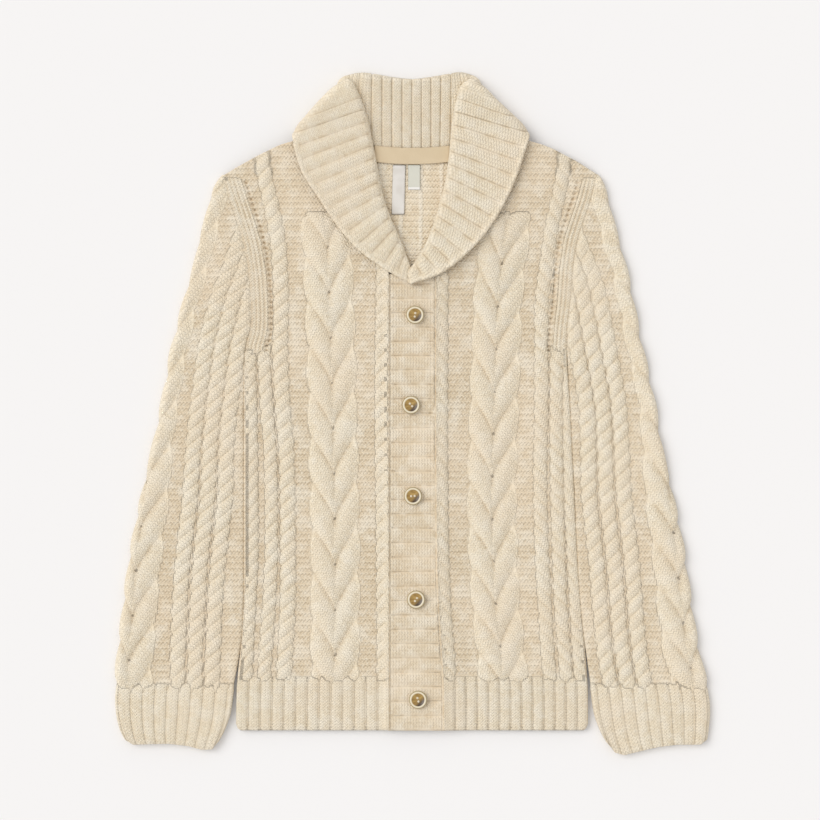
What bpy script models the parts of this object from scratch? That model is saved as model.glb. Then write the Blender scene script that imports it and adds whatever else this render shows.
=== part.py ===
"""A long-sleeved cable-knit cardigan with a shawl collar, buttoned and laid flat on its back.

Every length is in millimetres until a mesh is made. X runs across the garment, with the wearer's
right at -X, +Y runs from hem to neck, and +Z is up from the surface that the garment lies on.
"""

import math

import bmesh
import bpy
from mathutils import Vector
from mathutils.geometry import delaunay_2d_cdt

MM = 0.001

# Knitted walls and the clearances between layers
WALL = 3.0
COLLAR_WALL = 3.4
LAYER_GAP = 0.4
SEAM_GAP = 0.4
SIDE_GAP = 1.0
EDGE_LIP = 1.2          # thickness left at a rounded edge
EDGE_ROUND = 3.2        # how far in an edge takes to reach full thickness

# Relief on the outer face
ROPE_HEIGHT = 1.8
CABLE_HEIGHT = 2.7
RIB_HEIGHT = 1.2
RIB_GROOVE = -0.4
RIDGE_HEIGHT = 1.3

# The body
HEM_Y = -333.0
RIB_TOP_Y = -281.0
CENTRE_NECK_Y = 135.0   # where the fronts' necklines start
BAND_TOP_Y = 139.0      # the bands end under the collar's lapels
NECK_POINT = (78.0, 309.0)
UNDERARM_Y = 72.0
BODY_RIBS = 13
BAND_RIB = 15.0

# The collar's fall lies under the neck and lifts the panels by its own thickness.
NECK_CENTRE_Y = 298.0
LIFT = 4.2
LIFT_FULL = 131.0
LIFT_NONE = 200.0
# The under band lifts the left front where it joins the top band.
BAND_LIFT = WALL + LAYER_GAP
BAND_LIFT_OUT = 60.0
BAND_LIFT_TOP = 180.0

# Widths of the fronts by height: x of the side edge and of the centre edge
FRONT_ROWS = (
    # y, right side, right centre, left centre, left side
    (330.0, -177.0, -24.0, 25.0, 163.0),
    (72.0, -175.0, -24.0, 25.0, 163.0),
    (56.0, -177.0, -24.0, 25.0, 163.0),
    (14.0, -177.0, -24.0, 25.0, 166.0),
    (-17.0, -177.0, -24.0, 25.0, 167.5),
    (-154.0, -177.0, -24.0, 26.0, 174.0),
    (-196.0, -177.0, -24.0, 27.5, 177.0),
    (-238.0, -179.5, -24.0, 30.0, 181.0),
    (-285.0, -184.0, -24.0, 33.0, 184.5),
    (-333.0, -185.0, -24.0, 33.5, 185.0),
)
ARMHOLE_ROWS = (
    # y, right x, left x
    (247.0, -199.0, 195.0),
    (224.0, -192.0, 189.0),
    (203.0, -185.0, 182.0),
    (179.0, -178.0, 174.5),
    (151.0, -173.0, 170.5),
    (119.0, -170.5, 168.0),
    (90.0, -170.5, 164.5),
    (72.0, -175.0, 163.0),
)
SHOULDER_ROWS = (
    # right x, right y, left x, left y; the last two lie under the collar
    (-197.0, 251.0, 195.0, 251.0),
    (-182.0, 260.0, 173.0, 265.0),
    (-161.0, 271.5, 149.0, 277.5),
    (-139.0, 282.0, 138.0, 282.0),
    (-122.0, 287.0, 122.0, 286.5),
    (-100.0, 297.0, 100.0, 296.0),
)
BACK_NECK = ((-78.0, 309.0), (-62.0, 291.0), (-41.0, 279.0), (0.0, 276.0), (41.0, 279.0), (62.0, 291.0),
             (78.0, 309.0))

# Sleeves: x of the outer fold and of the inner fold by height
RIGHT_SLEEVE_ROWS = (
    # y, outer, inner
    (247.0, -201.0, -174.0),
    (235.0, -209.5, -174.0),
    (219.0, -214.0, -174.0),
    (182.0, -224.0, -174.0),
    (151.0, -231.0, -174.0),
    (119.0, -240.0, -175.0),
    (72.0, -251.5, -176.5),
    (14.0, -262.0, -178.5),
    (-38.0, -273.0, -178.5),
    (-91.0, -285.0, -178.5),
    (-143.0, -295.0, -178.5),
    (-194.0, -302.0, -178.8),
    (-232.0, -306.5, -180.5),
    (-261.0, -310.0, -184.5),
    (-288.0, -311.5, -189.5),
    (-314.0, -310.5, -193.0),
    (-332.0, -306.5, -199.5),
    (-342.0, -301.5, -205.0),
)
LEFT_SLEEVE_ROWS = (
    (247.0, 197.5, 165.0),
    (235.0, 203.5, 165.0),
    (219.0, 208.0, 165.0),
    (182.0, 217.5, 165.0),
    (151.0, 226.0, 165.0),
    (119.0, 232.0, 165.0),
    (72.0, 241.0, 164.5),
    (14.0, 254.0, 167.3),
    (-38.0, 263.0, 169.8),
    (-91.0, 274.5, 172.5),
    (-143.0, 284.5, 175.0),
    (-194.0, 292.0, 178.3),
    (-232.0, 298.0, 182.0),
    (-261.0, 304.0, 186.0),
    (-288.0, 310.5, 189.8),
    (-314.0, 312.5, 193.8),
    (-332.0, 311.0, 200.3),
    (-342.0, 309.5, 206.0),
)
RIGHT_CUFF = ((-294.0, -346.5), (-276.0, -346.0), (-257.0, -345.5), (-236.0, -348.0), (-221.0, -352.0),
              (-211.0, -351.5))
LEFT_CUFF = ((304.0, -346.5), (280.0, -346.5), (260.0, -349.0), (240.0, -353.5), (224.0, -357.5),
             (214.5, -355.0))
# Distances in from the outer fold: the cable's inner edge, the ropes' start, and each rope's width
SLEEVE_WALES = (
    # y, cable, ropes, rope width
    (247.0, 17.0, 38.0, 16.0),
    (182.0, 17.0, 33.0, 16.0),
    (119.0, 16.0, 25.0, 17.0),
    (14.0, 17.0, 28.0, 17.0),
    (-38.0, 21.0, 33.0, 17.5),
    (-91.0, 29.0, 41.0, 18.5),
    (-196.0, 35.0, 48.0, 18.5),
    (-290.0, 39.0, 56.0, 18.0),
)
CUFF_RIB_TOP_Y = -288.0
CUFF_RIBS = 10
SLEEVE_HOLLOW = 1.4     # the flattened sleeve's two layers lie this far apart
SCALLOP = 1.4           # how far the outer fold's cable swells past the edge
SLEEVE_CABLE_PITCH = 50.0
SLEEVE_CABLE_RISE = 0.3

# Cables on the fronts, as shares of the panel's width from its side edge
# share of the width to the centre line, width in mm
RIGHT_FRONT_ROPES = ((0.062, 13.0), (0.165, 15.0), (0.298, 18.0), (0.945, 14.0))
LEFT_FRONT_ROPES = ((0.047, 13.0), (0.157, 15.0), (0.280, 15.0), (0.957, 12.0))
RIGHT_FRONT_CABLE = 0.625
LEFT_FRONT_CABLE = 0.595
CABLE_WIDTH = 53.0
CABLE_PITCH = 48.0
CABLE_TIP_Y = -17.0     # height of one of the V's tips
ROPE_PITCH = 15.7
SLEEVE_ROPE_PITCH = 19.5
RIDGE_OFFSETS = ((4.0, RIDGE_HEIGHT), (11.5, RIDGE_HEIGHT), (15.5, RIB_GROOVE))
ROPES_CLEAR_OF_ARMHOLE = 19.0

# The collar: one strip from seam to free edge, by rib number from its right end to its left end
COLLAR_RIBS = 44
COLLAR_RIB_HEIGHT = 0.45
LINING_STEP = 4         # stations from one row of the strip's plain inner face to the next
PEAK_RIBS = ((12, 18), (26, 32))    # ribs where the strip turns sharply and its inner face has every station
UNDER_Z = 2.15
HANGING_Z = 5.0         # a free edge above this hangs past the shoulder, and one below it is tucked under
NECK_INNER_Z = 5.95
COLLAR_ROWS = (
    # rib, seam x, seam y, roll x, roll y, edge x, edge y, seam z, inner z, outer z
    (0, -22.5, 143.0, -5.5, 157.5, -12.0, 138.5, 8.2, 9.2, 15.2),
    (2, -27.5, 159.0, -13.0, 182.0, -41.0, 160.0, 9.2, 10.3, 16.2),
    (4, -33.0, 177.0, -23.5, 206.0, -64.0, 178.0, 9.4, 10.9, 16.5),
    (6, -39.5, 197.0, -32.0, 230.5, -83.0, 201.5, 9.4, 10.9, 16.5),
    (8, -46.0, 218.0, -37.0, 255.0, -99.0, 226.0, 9.4, 10.9, 16.5),
    (10, -53.5, 241.0, -42.0, 281.0, -115.5, 251.0, 9.4, 10.9, 16.5),
    (12, -61.0, 266.0, -47.0, 306.0, -124.5, 279.0, 9.4, 10.9, 16.5),
    (32, 61.0, 266.0, 42.5, 302.5, 120.5, 278.0, 9.4, 10.9, 16.5),
    (34, 53.5, 241.0, 40.5, 274.5, 110.5, 248.0, 9.4, 10.9, 16.5),
    (36, 46.5, 218.0, 37.0, 247.5, 97.0, 218.5, 9.4, 10.9, 16.5),
    (38, 40.0, 197.0, 30.5, 220.0, 79.0, 190.0, 9.6, 10.9, 16.6),
    (40, 34.0, 177.0, 22.0, 194.0, 56.5, 165.5, 9.9, 11.0, 17.0),
    (42, 28.5, 159.0, 10.5, 168.5, 29.5, 147.0, 10.7, 11.4, 18.0),
    (44, 22.5, 140.5, -5.0, 146.0, 2.0, 137.0, 11.2, 11.6, 17.8),
)
SHOULDER_FOLD_ROWS = (
    # rib, seam x, seam y, roll x, roll y, edge x, edge y, free x, free y, free z, seam z, inner z, outer z
    (12.5, -63.3, 272.8, -48.8, 312.3, -124.5, 286.5, -124.5, 286.0, 13.9, 9.4, 10.9, 16.4),
    (13, -65.5, 279.5, -50.7, 318.6, -123.5, 293.5, -123.3, 292.0, 7.6, 9.3, 10.9, 16.4),
    (13.5, -67.5, 285.7, -52.8, 324.8, -119.5, 301.0, -118.5, 294.0, UNDER_Z, 9.3, 10.8, 16.3),
    (14, -69.3, 292.0, -55.0, 331.0, -113.0, 308.7, -112.0, 283.0, UNDER_Z, 9.2, 10.7, 16.1),
    (15, -72.8, 302.5, -60.0, 342.0, -96.0, 327.5, -97.5, 272.0, UNDER_Z, 8.8, 10.1, 15.2),
    (29, 72.0, 302.5, 51.0, 342.0, 89.5, 326.5, 96.0, 272.0, UNDER_Z, 8.8, 10.1, 15.2),
    (30, 69.3, 292.0, 47.6, 329.7, 109.0, 308.5, 109.0, 283.0, UNDER_Z, 9.2, 10.7, 16.1),
    (30.5, 67.5, 285.7, 46.0, 322.9, 116.5, 301.0, 115.5, 294.0, UNDER_Z, 9.3, 10.8, 16.3),
    (31, 65.5, 279.5, 44.7, 316.0, 121.2, 293.7, 121.0, 292.2, 7.6, 9.3, 10.9, 16.4),
    (31.5, 63.3, 272.8, 43.6, 309.3, 122.0, 286.5, 122.0, 286.0, 13.9, 9.4, 10.9, 16.4),
)
BACK_NECK_ROWS = (
    # rib, seam x, seam y, roll x, roll y, free x, free y
    (17, -63.5, 294.5, -54.0, 357.5, -60.0, 266.0),
    (18, -43.5, 281.0, -42.0, 356.5, -42.0, 264.0),
    (20, -21.0, 278.0, -21.0, 353.0, -21.0, 262.0),
    (22, 0.0, 277.0, 0.0, 351.0, 0.0, 261.0),
    (24, 20.0, 278.0, 20.0, 353.0, 20.0, 262.0),
    (26, 41.0, 281.0, 41.0, 356.5, 41.0, 264.0),
    (27, 63.5, 294.5, 50.0, 358.0, 59.0, 266.0),
)
# The two peaks, where roll, shoulder fold and back meet: (x, y, z) down the strip from seam to free edge
PEAK_ROWS = (
    (15.5, ((-75.5, 308.0, 9.4), (-71.5, 327.0, 9.9), (-67.0, 342.5, 10.2), (-64.3, 346.5, 12.2),
            (-67.0, 346.5, 14.3), (-71.0, 345.0, 14.4), (-75.5, 343.3, 13.5), (-80.5, 341.2, 8.2),
            (-76.5, 340.0, UNDER_Z), (-89.0, 269.0, UNDER_Z))),
    (16, ((-75.5, 310.5, 7.9), (-72.5, 329.0, 8.0), (-70.0, 343.0, 8.0), (-70.5, 351.0, 8.0),
          (-74.2, 349.0, 7.0), (-75.8, 346.0, 5.2), (-76.0, 343.0, 3.6), (-75.5, 339.0, 2.5),
          (-74.0, 330.0, UNDER_Z), (-75.0, 268.0, UNDER_Z))),
    (16.5, ((-72.0, 304.0, 6.5), (-69.0, 326.0, 6.3), (-64.5, 348.5, 6.1), (-62.5, 354.5, 4.3),
            (-63.5, 350.5, 2.3), (-65.0, 347.0, UNDER_Z), (-66.5, 341.0, UNDER_Z), (-67.5, 334.0, UNDER_Z),
            (-68.0, 320.0, UNDER_Z), (-68.0, 267.0, UNDER_Z))),
    (27.5, ((72.0, 304.0, 6.5), (67.5, 326.0, 6.3), (60.5, 348.5, 6.1), (58.0, 355.0, 4.3),
            (59.5, 350.5, 2.3), (61.5, 347.0, UNDER_Z), (63.0, 341.0, UNDER_Z), (64.5, 334.0, UNDER_Z),
            (65.5, 320.0, UNDER_Z), (67.5, 267.0, UNDER_Z))),
    (28, ((75.5, 310.5, 7.9), (70.5, 329.0, 8.0), (65.0, 343.0, 8.0), (64.0, 351.5, 8.0),
          (68.0, 349.5, 7.0), (69.8, 346.5, 5.2), (70.4, 343.5, 3.6), (70.8, 339.0, 2.5),
          (71.5, 330.0, UNDER_Z), (75.0, 268.0, UNDER_Z))),
    (28.5, ((75.5, 308.0, 9.4), (69.5, 327.0, 9.9), (62.5, 342.5, 10.2), (58.5, 347.0, 12.2),
            (61.0, 347.0, 14.3), (65.0, 345.3, 14.4), (69.5, 343.3, 13.5), (74.5, 340.6, 8.2),
            (71.5, 339.5, UNDER_Z), (88.0, 269.0, UNDER_Z))),
)

# Buttons, tape and labels
BUTTON_CENTRES = ((3.2, 103.4), (-1.0, 9.0), (1.0, -86.5), (4.2, -195.0), (6.3, -300.0))
BUTTON_RADIUS = 9.5
BUTTON_SIDES = 20
# radius and height of the turned profile
BUTTON_PROFILE = ((0.0, 0.0), (7.6, 0.0), (9.3, 1.2), (9.5, 2.4), (8.6, 3.6), (7.2, 3.7), (5.8, 2.6), (0.0, 2.2))
BUTTON_BASE_Z = 11.6
TAPE_EDGE = ((-40.0, 281.5), (-20.0, 279.5), (0.0, 279.0), (20.0, 279.5), (40.0, 281.5))
TAPE_WIDTH = 17.5
TAPE_Z = 8.9
TAPE_THICK = 0.9
LABEL_THICK = 0.8
LABEL_Z = NECK_INNER_Z + 1.7
# centre x, top y, width, length, tilt in degrees
MAIN_LABEL = (-13.4, 260.8, 13.6, 52.0, 1.5)
SIZE_LABEL = (2.3, 260.8, 13.0, 26.0, 0.0)

COLOURS = {
    # name: (red, green, blue, roughness)
    "wool": (0.79, 0.70, 0.55, 0.9),
    "horn": (0.42, 0.25, 0.09, 0.35),
    "tape": (0.70, 0.56, 0.38, 0.8),
    "label": (0.86, 0.86, 0.83, 0.6),
    "size_label": (0.62, 0.65, 0.60, 0.6),
}


def clamp(value, low=0.0, high=1.0):
    return min(high, max(low, value))


def read(rows, column, at):
    """A column of a table at a given height, on a smooth curve through its rows, which run downwards."""
    keys = [row[0] for row in rows]
    values = [row[column] for row in rows]
    if at >= keys[0]:
        return values[0]
    if at <= keys[-1]:
        return values[-1]
    i = next(n for n in range(len(keys) - 1) if keys[n + 1] <= at)

    def slope(n):
        before, after = max(0, n - 1), min(len(keys) - 1, n + 1)
        return (values[after] - values[before]) / (keys[after] - keys[before])

    span = keys[i + 1] - keys[i]
    t = (at - keys[i]) / span
    start, end = slope(i) * span, slope(i + 1) * span
    return (
        (2 * t**3 - 3 * t**2 + 1) * values[i]
        + (t**3 - 2 * t**2 + t) * start
        + (3 * t**2 - 2 * t**3) * values[i + 1]
        + (t**3 - t**2) * end
    )


def lift(x, y):
    """How far the collar's fall raises the panels off the surface: a low cone round the neck."""
    radius = math.hypot(x, y - NECK_CENTRE_Y)
    return LIFT * clamp((LIFT_NONE - radius) / (LIFT_NONE - LIFT_FULL))


def band_lift(x, y):
    across = clamp((BAND_LIFT_OUT - x) / (BAND_LIFT_OUT - FRONT_ROWS[0][3]))
    up = clamp((BAND_LIFT_TOP - y) / (BAND_LIFT_TOP - CENTRE_NECK_Y))
    return BAND_LIFT * across * up


def back_level(x, y):
    return lift(x, y)


def right_front_level(x, y):
    return lift(x, y) + WALL + LAYER_GAP


def left_front_level(x, y):
    return lift(x, y) + WALL + LAYER_GAP + band_lift(x, y)


def top_band_level(x, y):
    return lift(x, y) + WALL + LAYER_GAP + BAND_LIFT


# Plan geometry


def spaced(points, step):
    """The points of a polyline with more between them, no further apart than a step."""
    out = [points[0]]
    for a, b in zip(points, points[1:]):
        count = max(1, math.ceil(math.dist(a, b) / step))
        out += [(a[0] + (b[0] - a[0]) * n / count, a[1] + (b[1] - a[1]) * n / count) for n in range(1, count + 1)]
    return out


def joined(*chains):
    """One closed outline from chains that follow each other, each without its last point."""
    out = []
    for chain in chains:
        for point in chain:
            if not out or math.dist(out[-1], point) > 0.5:
                out.append(point)
    if math.dist(out[0], out[-1]) < 0.5:
        out.pop()
    return out


def heights(top, bottom, step):
    count = max(1, round((top - bottom) / step))
    return [top + (bottom - top) * n / count for n in range(count + 1)]


def area(outline):
    return sum(a[0] * b[1] - b[0] * a[1] for a, b in zip(outline, outline[1:] + outline[:1])) / 2


def normals(outline):
    """Unit vectors pointing into a counter-clockwise outline."""
    out = []
    for before, here, after in zip(outline[-1:] + outline[:-1], outline, outline[1:] + outline[:1]):
        first = Vector((here[0] - before[0], here[1] - before[1])).normalized()
        second = Vector((after[0] - here[0], after[1] - here[1])).normalized()
        mean = Vector((-(first.y + second.y), first.x + second.x)).normalized()
        out.append(mean / max(0.6, mean.dot(Vector((-first.y, first.x)))))
    return out


def inset(outline, distance):
    return [(p[0] + n.x * distance, p[1] + n.y * distance) for p, n in zip(outline, normals(outline))]


def inside(outline, point):
    x, y = point
    found = False
    for (ax, ay), (bx, by) in zip(outline, outline[1:] + outline[:1]):
        if (ay > y) != (by > y) and x < ax + (bx - ax) * (y - ay) / (by - ay):
            found = not found
    return found


def distance_to(chain, point):
    best = 1e9
    for a, b in zip(chain, chain[1:]):
        ax, ay, bx, by = a[0], a[1], b[0] - a[0], b[1] - a[1]
        t = clamp(((point[0] - ax) * bx + (point[1] - ay) * by) / max(1e-9, bx * bx + by * by))
        best = min(best, math.hypot(point[0] - ax - bx * t, point[1] - ay - by * t))
    return best


# Relief drawn on a panel


class Relief:
    """Points and lines raised on one face, kept clear of each other and of the panel's edges."""

    def __init__(self, outline, margin, keep=None):
        self.outline = outline
        self.loop = outline + outline[:1]
        self.margin = margin
        self.keep = keep
        self.points = []
        self.edges = []
        self.cells = {}

    def dot(self, x, y, height, free=False):
        """Adds a point, or finds the one already there; None where the panel has no room for it."""
        if not free and self.keep and not self.keep(x, y):
            return None
        if not inside(self.outline, (x, y)) or distance_to(self.loop, (x, y)) < self.margin:
            return None
        cell = (round(x / 1.6), round(y / 1.6))
        for i in range(-1, 2):
            for j in range(-1, 2):
                for n in self.cells.get((cell[0] + i, cell[1] + j), ()):
                    if math.dist(self.points[n][:2], (x, y)) < 1.6:
                        return n
        self.points.append((x, y, height))
        self.cells.setdefault(cell, []).append(len(self.points) - 1)
        return len(self.points) - 1

    def line(self, points, free=False):
        """Adds points (x, y, height) and the edges between neighbours that both fit."""
        found = [self.dot(*point, free=free) for point in points]
        for a, b in zip(found, found[1:]):
            if a is not None and b is not None and a != b:
                self.edges.append((a, b))


def rope(relief, centre, breadth, pitch, top, bottom, lean, height, fine=False):
    """A two-strand rope cable: slanted lobes, lean +1 rising to +X and -1 to -X."""
    count = int((top - bottom) / pitch)
    for n in range(count):
        y = top - (n + 0.5) * pitch
        x, width = centre(y), breadth(y)
        rise = 0.40 * pitch * lean
        if fine:
            for offset, part in ((0.17, 1.0), (-0.17, 1.0)):
                relief.line([
                    (x + across * width, y + across / 0.29 * rise + offset * pitch, height * raised * part)
                    for across, raised in ((-0.29, 0.92), (0.0, 1.0), (0.29, 0.92))
                ])
        else:
            relief.line([(x - 0.25 * width, y - rise, height), (x + 0.25 * width, y + rise, height)])
        low = y - pitch / 2
        relief.dot(x - width / 2, low - rise, 0.12 * height)
        relief.dot(x + width / 2, low + rise, 0.12 * height)
        if fine:
            relief.line([(x - 0.3 * width, low - 0.8 * rise, 0.4 * height), (x, low, 0.4 * height),
                         (x + 0.3 * width, low + 0.8 * rise, 0.4 * height)])


def horseshoe(relief, centre, width, pitch, top, bottom, height, halves=(-1, 1)):
    """Two ropes side by side, mirrored, whose lobes meet in V's along the centre line."""
    for side in halves:
        rope(relief, lambda y, side=side: centre(y) + side * width / 4, lambda y: width / 2, pitch, top, bottom,
             side, height, fine=True)


def ribs(relief, tops, bottoms, height, groove):
    """Ribs between two rows of places: each pair of neighbours holds one rib, with grooves at the places."""
    for (ax, ay), (bx, by) in zip(tops, bottoms):
        relief.line([(ax, ay, groove), (bx, by, groove)])
    for n in range(len(tops) - 1):
        for share in (0.27, 0.73):
            a = [tops[n][k] + (tops[n + 1][k] - tops[n][k]) * share for k in (0, 1)]
            b = [bottoms[n][k] + (bottoms[n + 1][k] - bottoms[n][k]) * share for k in (0, 1)]
            relief.line([(a[0], a[1], height), (b[0], b[1], height)])


# Meshes


class Shell:
    """A closed mesh put together from plan patches and the strips between their edges."""

    def __init__(self):
        self.points = []
        self.faces = []

    def add(self, x, y, z):
        self.points.append((x, y, z))
        return len(self.points) - 1

    def patch(self, rim, inner, edges, height):
        """Triangles inside a rim of points already added, through inner points (x, y, relief)."""
        plan = [Vector(self.points[i][:2]) for i in rim] + [Vector(point[:2]) for point in inner]
        count = len(rim)
        around = [(n, (n + 1) % count) for n in range(count)]
        lines = [(a + count, b + count) for a, b in edges]
        points, _, faces, sources, _, _ = delaunay_2d_cdt(plan, around + lines, [list(range(count))], 1, 1e-5)
        index = []
        for point, source in zip(points, sources):
            if source and min(source) < count:
                index.append(rim[min(source)])
                continue
            relief = inner[min(source) - count][2] if source else 0.0
            index.append(self.add(point.x, point.y, height(point.x, point.y) + relief))
        self.faces += [tuple(index[n] for n in face) for face in faces]

    def strip(self, a, b, closed=False):
        pairs = list(zip(a, b))
        for (p, q), (r, s) in zip(pairs, pairs[1:] + (pairs[:1] if closed else [])):
            self.faces += [(p, q, s), (p, s, r)]

    def zip_chains(self, fine, coarse, places):
        """Triangles between a fine chain and a coarse one, whose points stand beside the given places."""
        for n, (first, last) in enumerate(zip(places, places[1:])):
            middle = (first + last) // 2
            for k in range(first, last):
                self.faces.append((fine[k], fine[k + 1], coarse[n] if k < middle else coarse[n + 1]))
            self.faces.append((coarse[n], fine[middle], coarse[n + 1]))

    def finish(self, name, material, smooth_angle=None):
        mesh = bpy.data.meshes.new(name)
        mesh.from_pydata([(x * MM, y * MM, z * MM) for x, y, z in self.points], [], self.faces)
        shape = bmesh.new()
        shape.from_mesh(mesh)
        loose = [vert for vert in shape.verts if not vert.link_faces]
        bmesh.ops.delete(shape, geom=loose, context="VERTS")
        bmesh.ops.recalc_face_normals(shape, faces=shape.faces)
        if shape.calc_volume(signed=True) < 0:
            bmesh.ops.reverse_faces(shape, faces=shape.faces)
        shape.to_mesh(mesh)
        shape.free()
        if smooth_angle:
            mesh.shade_smooth()
            mesh.set_sharp_from_angle(angle=math.radians(smooth_angle))
        mesh.materials.append(material)
        thing = bpy.data.objects.new(name, mesh)
        bpy.context.scene.collection.objects.link(thing)
        return thing


def ring_points(outline, distance, height):
    """An inset ring that rounds an edge, without the points that fold over at a sharp corner."""
    ring = inset(outline, distance)
    loop = outline + outline[:1]
    return [(x, y, height) for x, y in ring if distance_to(loop, (x, y)) > distance * 0.75]


def cone_lines(outline, margin):
    """Points along the two circles where the lift under the neck starts and ends, and the band lift's edge."""
    relief = Relief(outline, margin)
    for radius in (LIFT_FULL, LIFT_NONE):
        steps = int(radius * 2 * math.pi / 14)
        for n in range(steps):
            angle = 2 * math.pi * n / steps
            relief.dot(radius * math.cos(angle), NECK_CENTRE_Y + radius * math.sin(angle), 0.0)
    return relief


def slab(name, outline, level, wall, relief, material, lip=EDGE_LIP, under_lip=0.0, band_edge=False):
    """A knitted panel: relief on its outer face, a plain inner face and rounded edges."""
    shell = Shell()
    low = [shell.add(x, y, level(x, y) + under_lip) for x, y in outline]
    high = [shell.add(x, y, level(x, y) + under_lip + lip) for x, y in outline]
    under = cone_lines(outline, 6.0)
    if band_edge:
        for x in (BAND_LIFT_OUT, (BAND_LIFT_OUT + FRONT_ROWS[0][3]) / 2):
            for y in heights(BAND_LIFT_TOP, HEM_Y, 25.0):
                under.dot(x, y, 0.0)
    under_ring = ring_points(outline, EDGE_ROUND, 0.0) if under_lip else []
    shell.patch(low, under.points + under_ring, [], level)
    top = ring_points(outline, EDGE_ROUND, wall - 0.25) + [
        (x, y, wall + height) for x, y, height in relief.points
    ]
    rings = len(top) - len(relief.points)
    edges = [(a + rings, b + rings) for a, b in relief.edges]
    shell.patch(high, top, edges, level)
    shell.strip(low, high, closed=True)
    return shell.finish(name, material, 40)


def front_outline(side):
    """A front's outline: side -1 is the wearer's right, +1 the wearer's left."""
    centre, edge = (2, 1) if side < 0 else (3, 4)
    armhole = 1 if side < 0 else 2
    tall = heights(CENTRE_NECK_Y, HEM_Y, 13.0)
    centre_edge = [(read(FRONT_ROWS, centre, y), y) for y in reversed(tall)]
    neck = spaced([centre_edge[-1], (side * NECK_POINT[0], NECK_POINT[1])], 14.0)
    columns = (0, 1) if side < 0 else (2, 3)
    shoulder = [(row[columns[0]], row[columns[1]]) for row in reversed(SHOULDER_ROWS)]
    arm = [(read(ARMHOLE_ROWS, armhole, y), y) for y in heights(247.0, UNDERARM_Y, 12.0)]
    flank = [(read(FRONT_ROWS, edge, y), y) for y in heights(UNDERARM_Y - 10.0, HEM_Y + 7.0, 13.0)]
    corner = (flank[-1][0] - side * 5.0, HEM_Y)
    hem = spaced([corner, centre_edge[0]], 12.0)
    outline = joined(centre_edge, neck, spaced([neck[-1]] + shoulder, 14.0), arm, flank, hem)
    return outline if area(outline) > 0 else outline[::-1], arm


def collar_cover(side):
    """The plan area that a lapel hides, so that no relief is drawn under it."""
    lapel = [row for row in COLLAR_ROWS if (row[0] < 16) == (side < 0)]
    folds = [row for row in SHOULDER_FOLD_ROWS if (row[0] < 16) == (side < 0)]
    if side < 0:
        edge = [(row[5], row[6]) for row in lapel] + [(folds[0][5], folds[0][6])]
    else:
        edge = [(folds[-1][5], folds[-1][6])] + [(row[5], row[6]) for row in lapel]
        edge = edge[::-1]
    return edge + [(side * 60.0, 320.0), (0.0, 320.0), (0.0, edge[0][1] + 4.0)]


def make_front(name, side, material):
    outline, arm = front_outline(side)
    cover = collar_cover(side)
    centre, edge = (2, 1) if side < 0 else (3, 4)

    def open_to_view(x, y):
        return not inside(cover, (x, y))

    def clear(x, y):
        far = ROPES_CLEAR_OF_ARMHOLE if y > UNDERARM_Y else 0.0
        return open_to_view(x, y) and (not far or distance_to(arm, (x, y)) > far)

    relief = Relief(outline, EDGE_ROUND + 1.2, open_to_view)
    for offset, height in RIDGE_OFFSETS:
        line = [(x - side * offset, y - offset * 0.25, height) for x, y in arm[1:-2]]
        relief.line(line)
    relief.keep = clear

    def wale(share):
        return lambda y: read(FRONT_ROWS, edge, y) + (read(FRONT_ROWS, centre, y) - read(FRONT_ROWS, edge, y)) * share

    ropes = RIGHT_FRONT_ROPES if side < 0 else LEFT_FRONT_ROPES
    for share, width in ropes:
        rope(relief, wale(share), lambda y, width=width: width, ROPE_PITCH, 264.0, RIB_TOP_Y + 5.0, -side,
             ROPE_HEIGHT)
    cable = RIGHT_FRONT_CABLE if side < 0 else LEFT_FRONT_CABLE
    first = CABLE_TIP_Y + CABLE_PITCH * 6
    last = CABLE_TIP_Y - CABLE_PITCH * 5.5
    horseshoe(relief, wale(cable), CABLE_WIDTH, CABLE_PITCH, first, last, CABLE_HEIGHT)
    tops = [(wale(n / BODY_RIBS)(RIB_TOP_Y), RIB_TOP_Y - 2.0) for n in range(BODY_RIBS + 1)]
    bottoms = [(wale(n / BODY_RIBS)(HEM_Y), HEM_Y + 4.6) for n in range(BODY_RIBS + 1)]
    ribs(relief, tops, bottoms, RIB_HEIGHT, RIB_GROOVE)
    level = right_front_level if side < 0 else left_front_level
    return slab(name, outline, level, WALL, relief, material, band_edge=side > 0)


def make_back(material):
    right, _ = front_outline(-1)
    left_edge = [(read(FRONT_ROWS, 4, y), y) for y in heights(UNDERARM_Y - 10.0, HEM_Y + 7.0, 13.0)]
    right_edge = [(read(FRONT_ROWS, 1, y), y) for y in heights(UNDERARM_Y - 10.0, HEM_Y + 7.0, 13.0)]
    left_arm = [(read(ARMHOLE_ROWS, 2, y), y) for y in heights(247.0, UNDERARM_Y, 12.0)]
    right_arm = [(read(ARMHOLE_ROWS, 1, y), y) for y in heights(247.0, UNDERARM_Y, 12.0)]
    left_shoulder = [(row[2], row[3]) for row in SHOULDER_ROWS]
    right_shoulder = [(row[0], row[1]) for row in SHOULDER_ROWS]
    hem = spaced([(right_edge[-1][0] + 5.0, HEM_Y), (left_edge[-1][0] - 5.0, HEM_Y)], 18.0)
    outline = joined(
        hem, left_edge[::-1], left_arm[::-1], left_shoulder, spaced(BACK_NECK[::-1], 12.0),
        right_shoulder[::-1], right_arm, right_edge,
    )
    relief = cone_lines(outline, 6.0)
    for x in (-120.0, -60.0, 0.0, 60.0, 120.0):
        for y in heights(80.0, -300.0, 76.0):
            relief.dot(x, y, 0.0)
    return slab("back_panel", outline, back_level, WALL, relief, material, lip=EDGE_LIP, under_lip=1.4)


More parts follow.
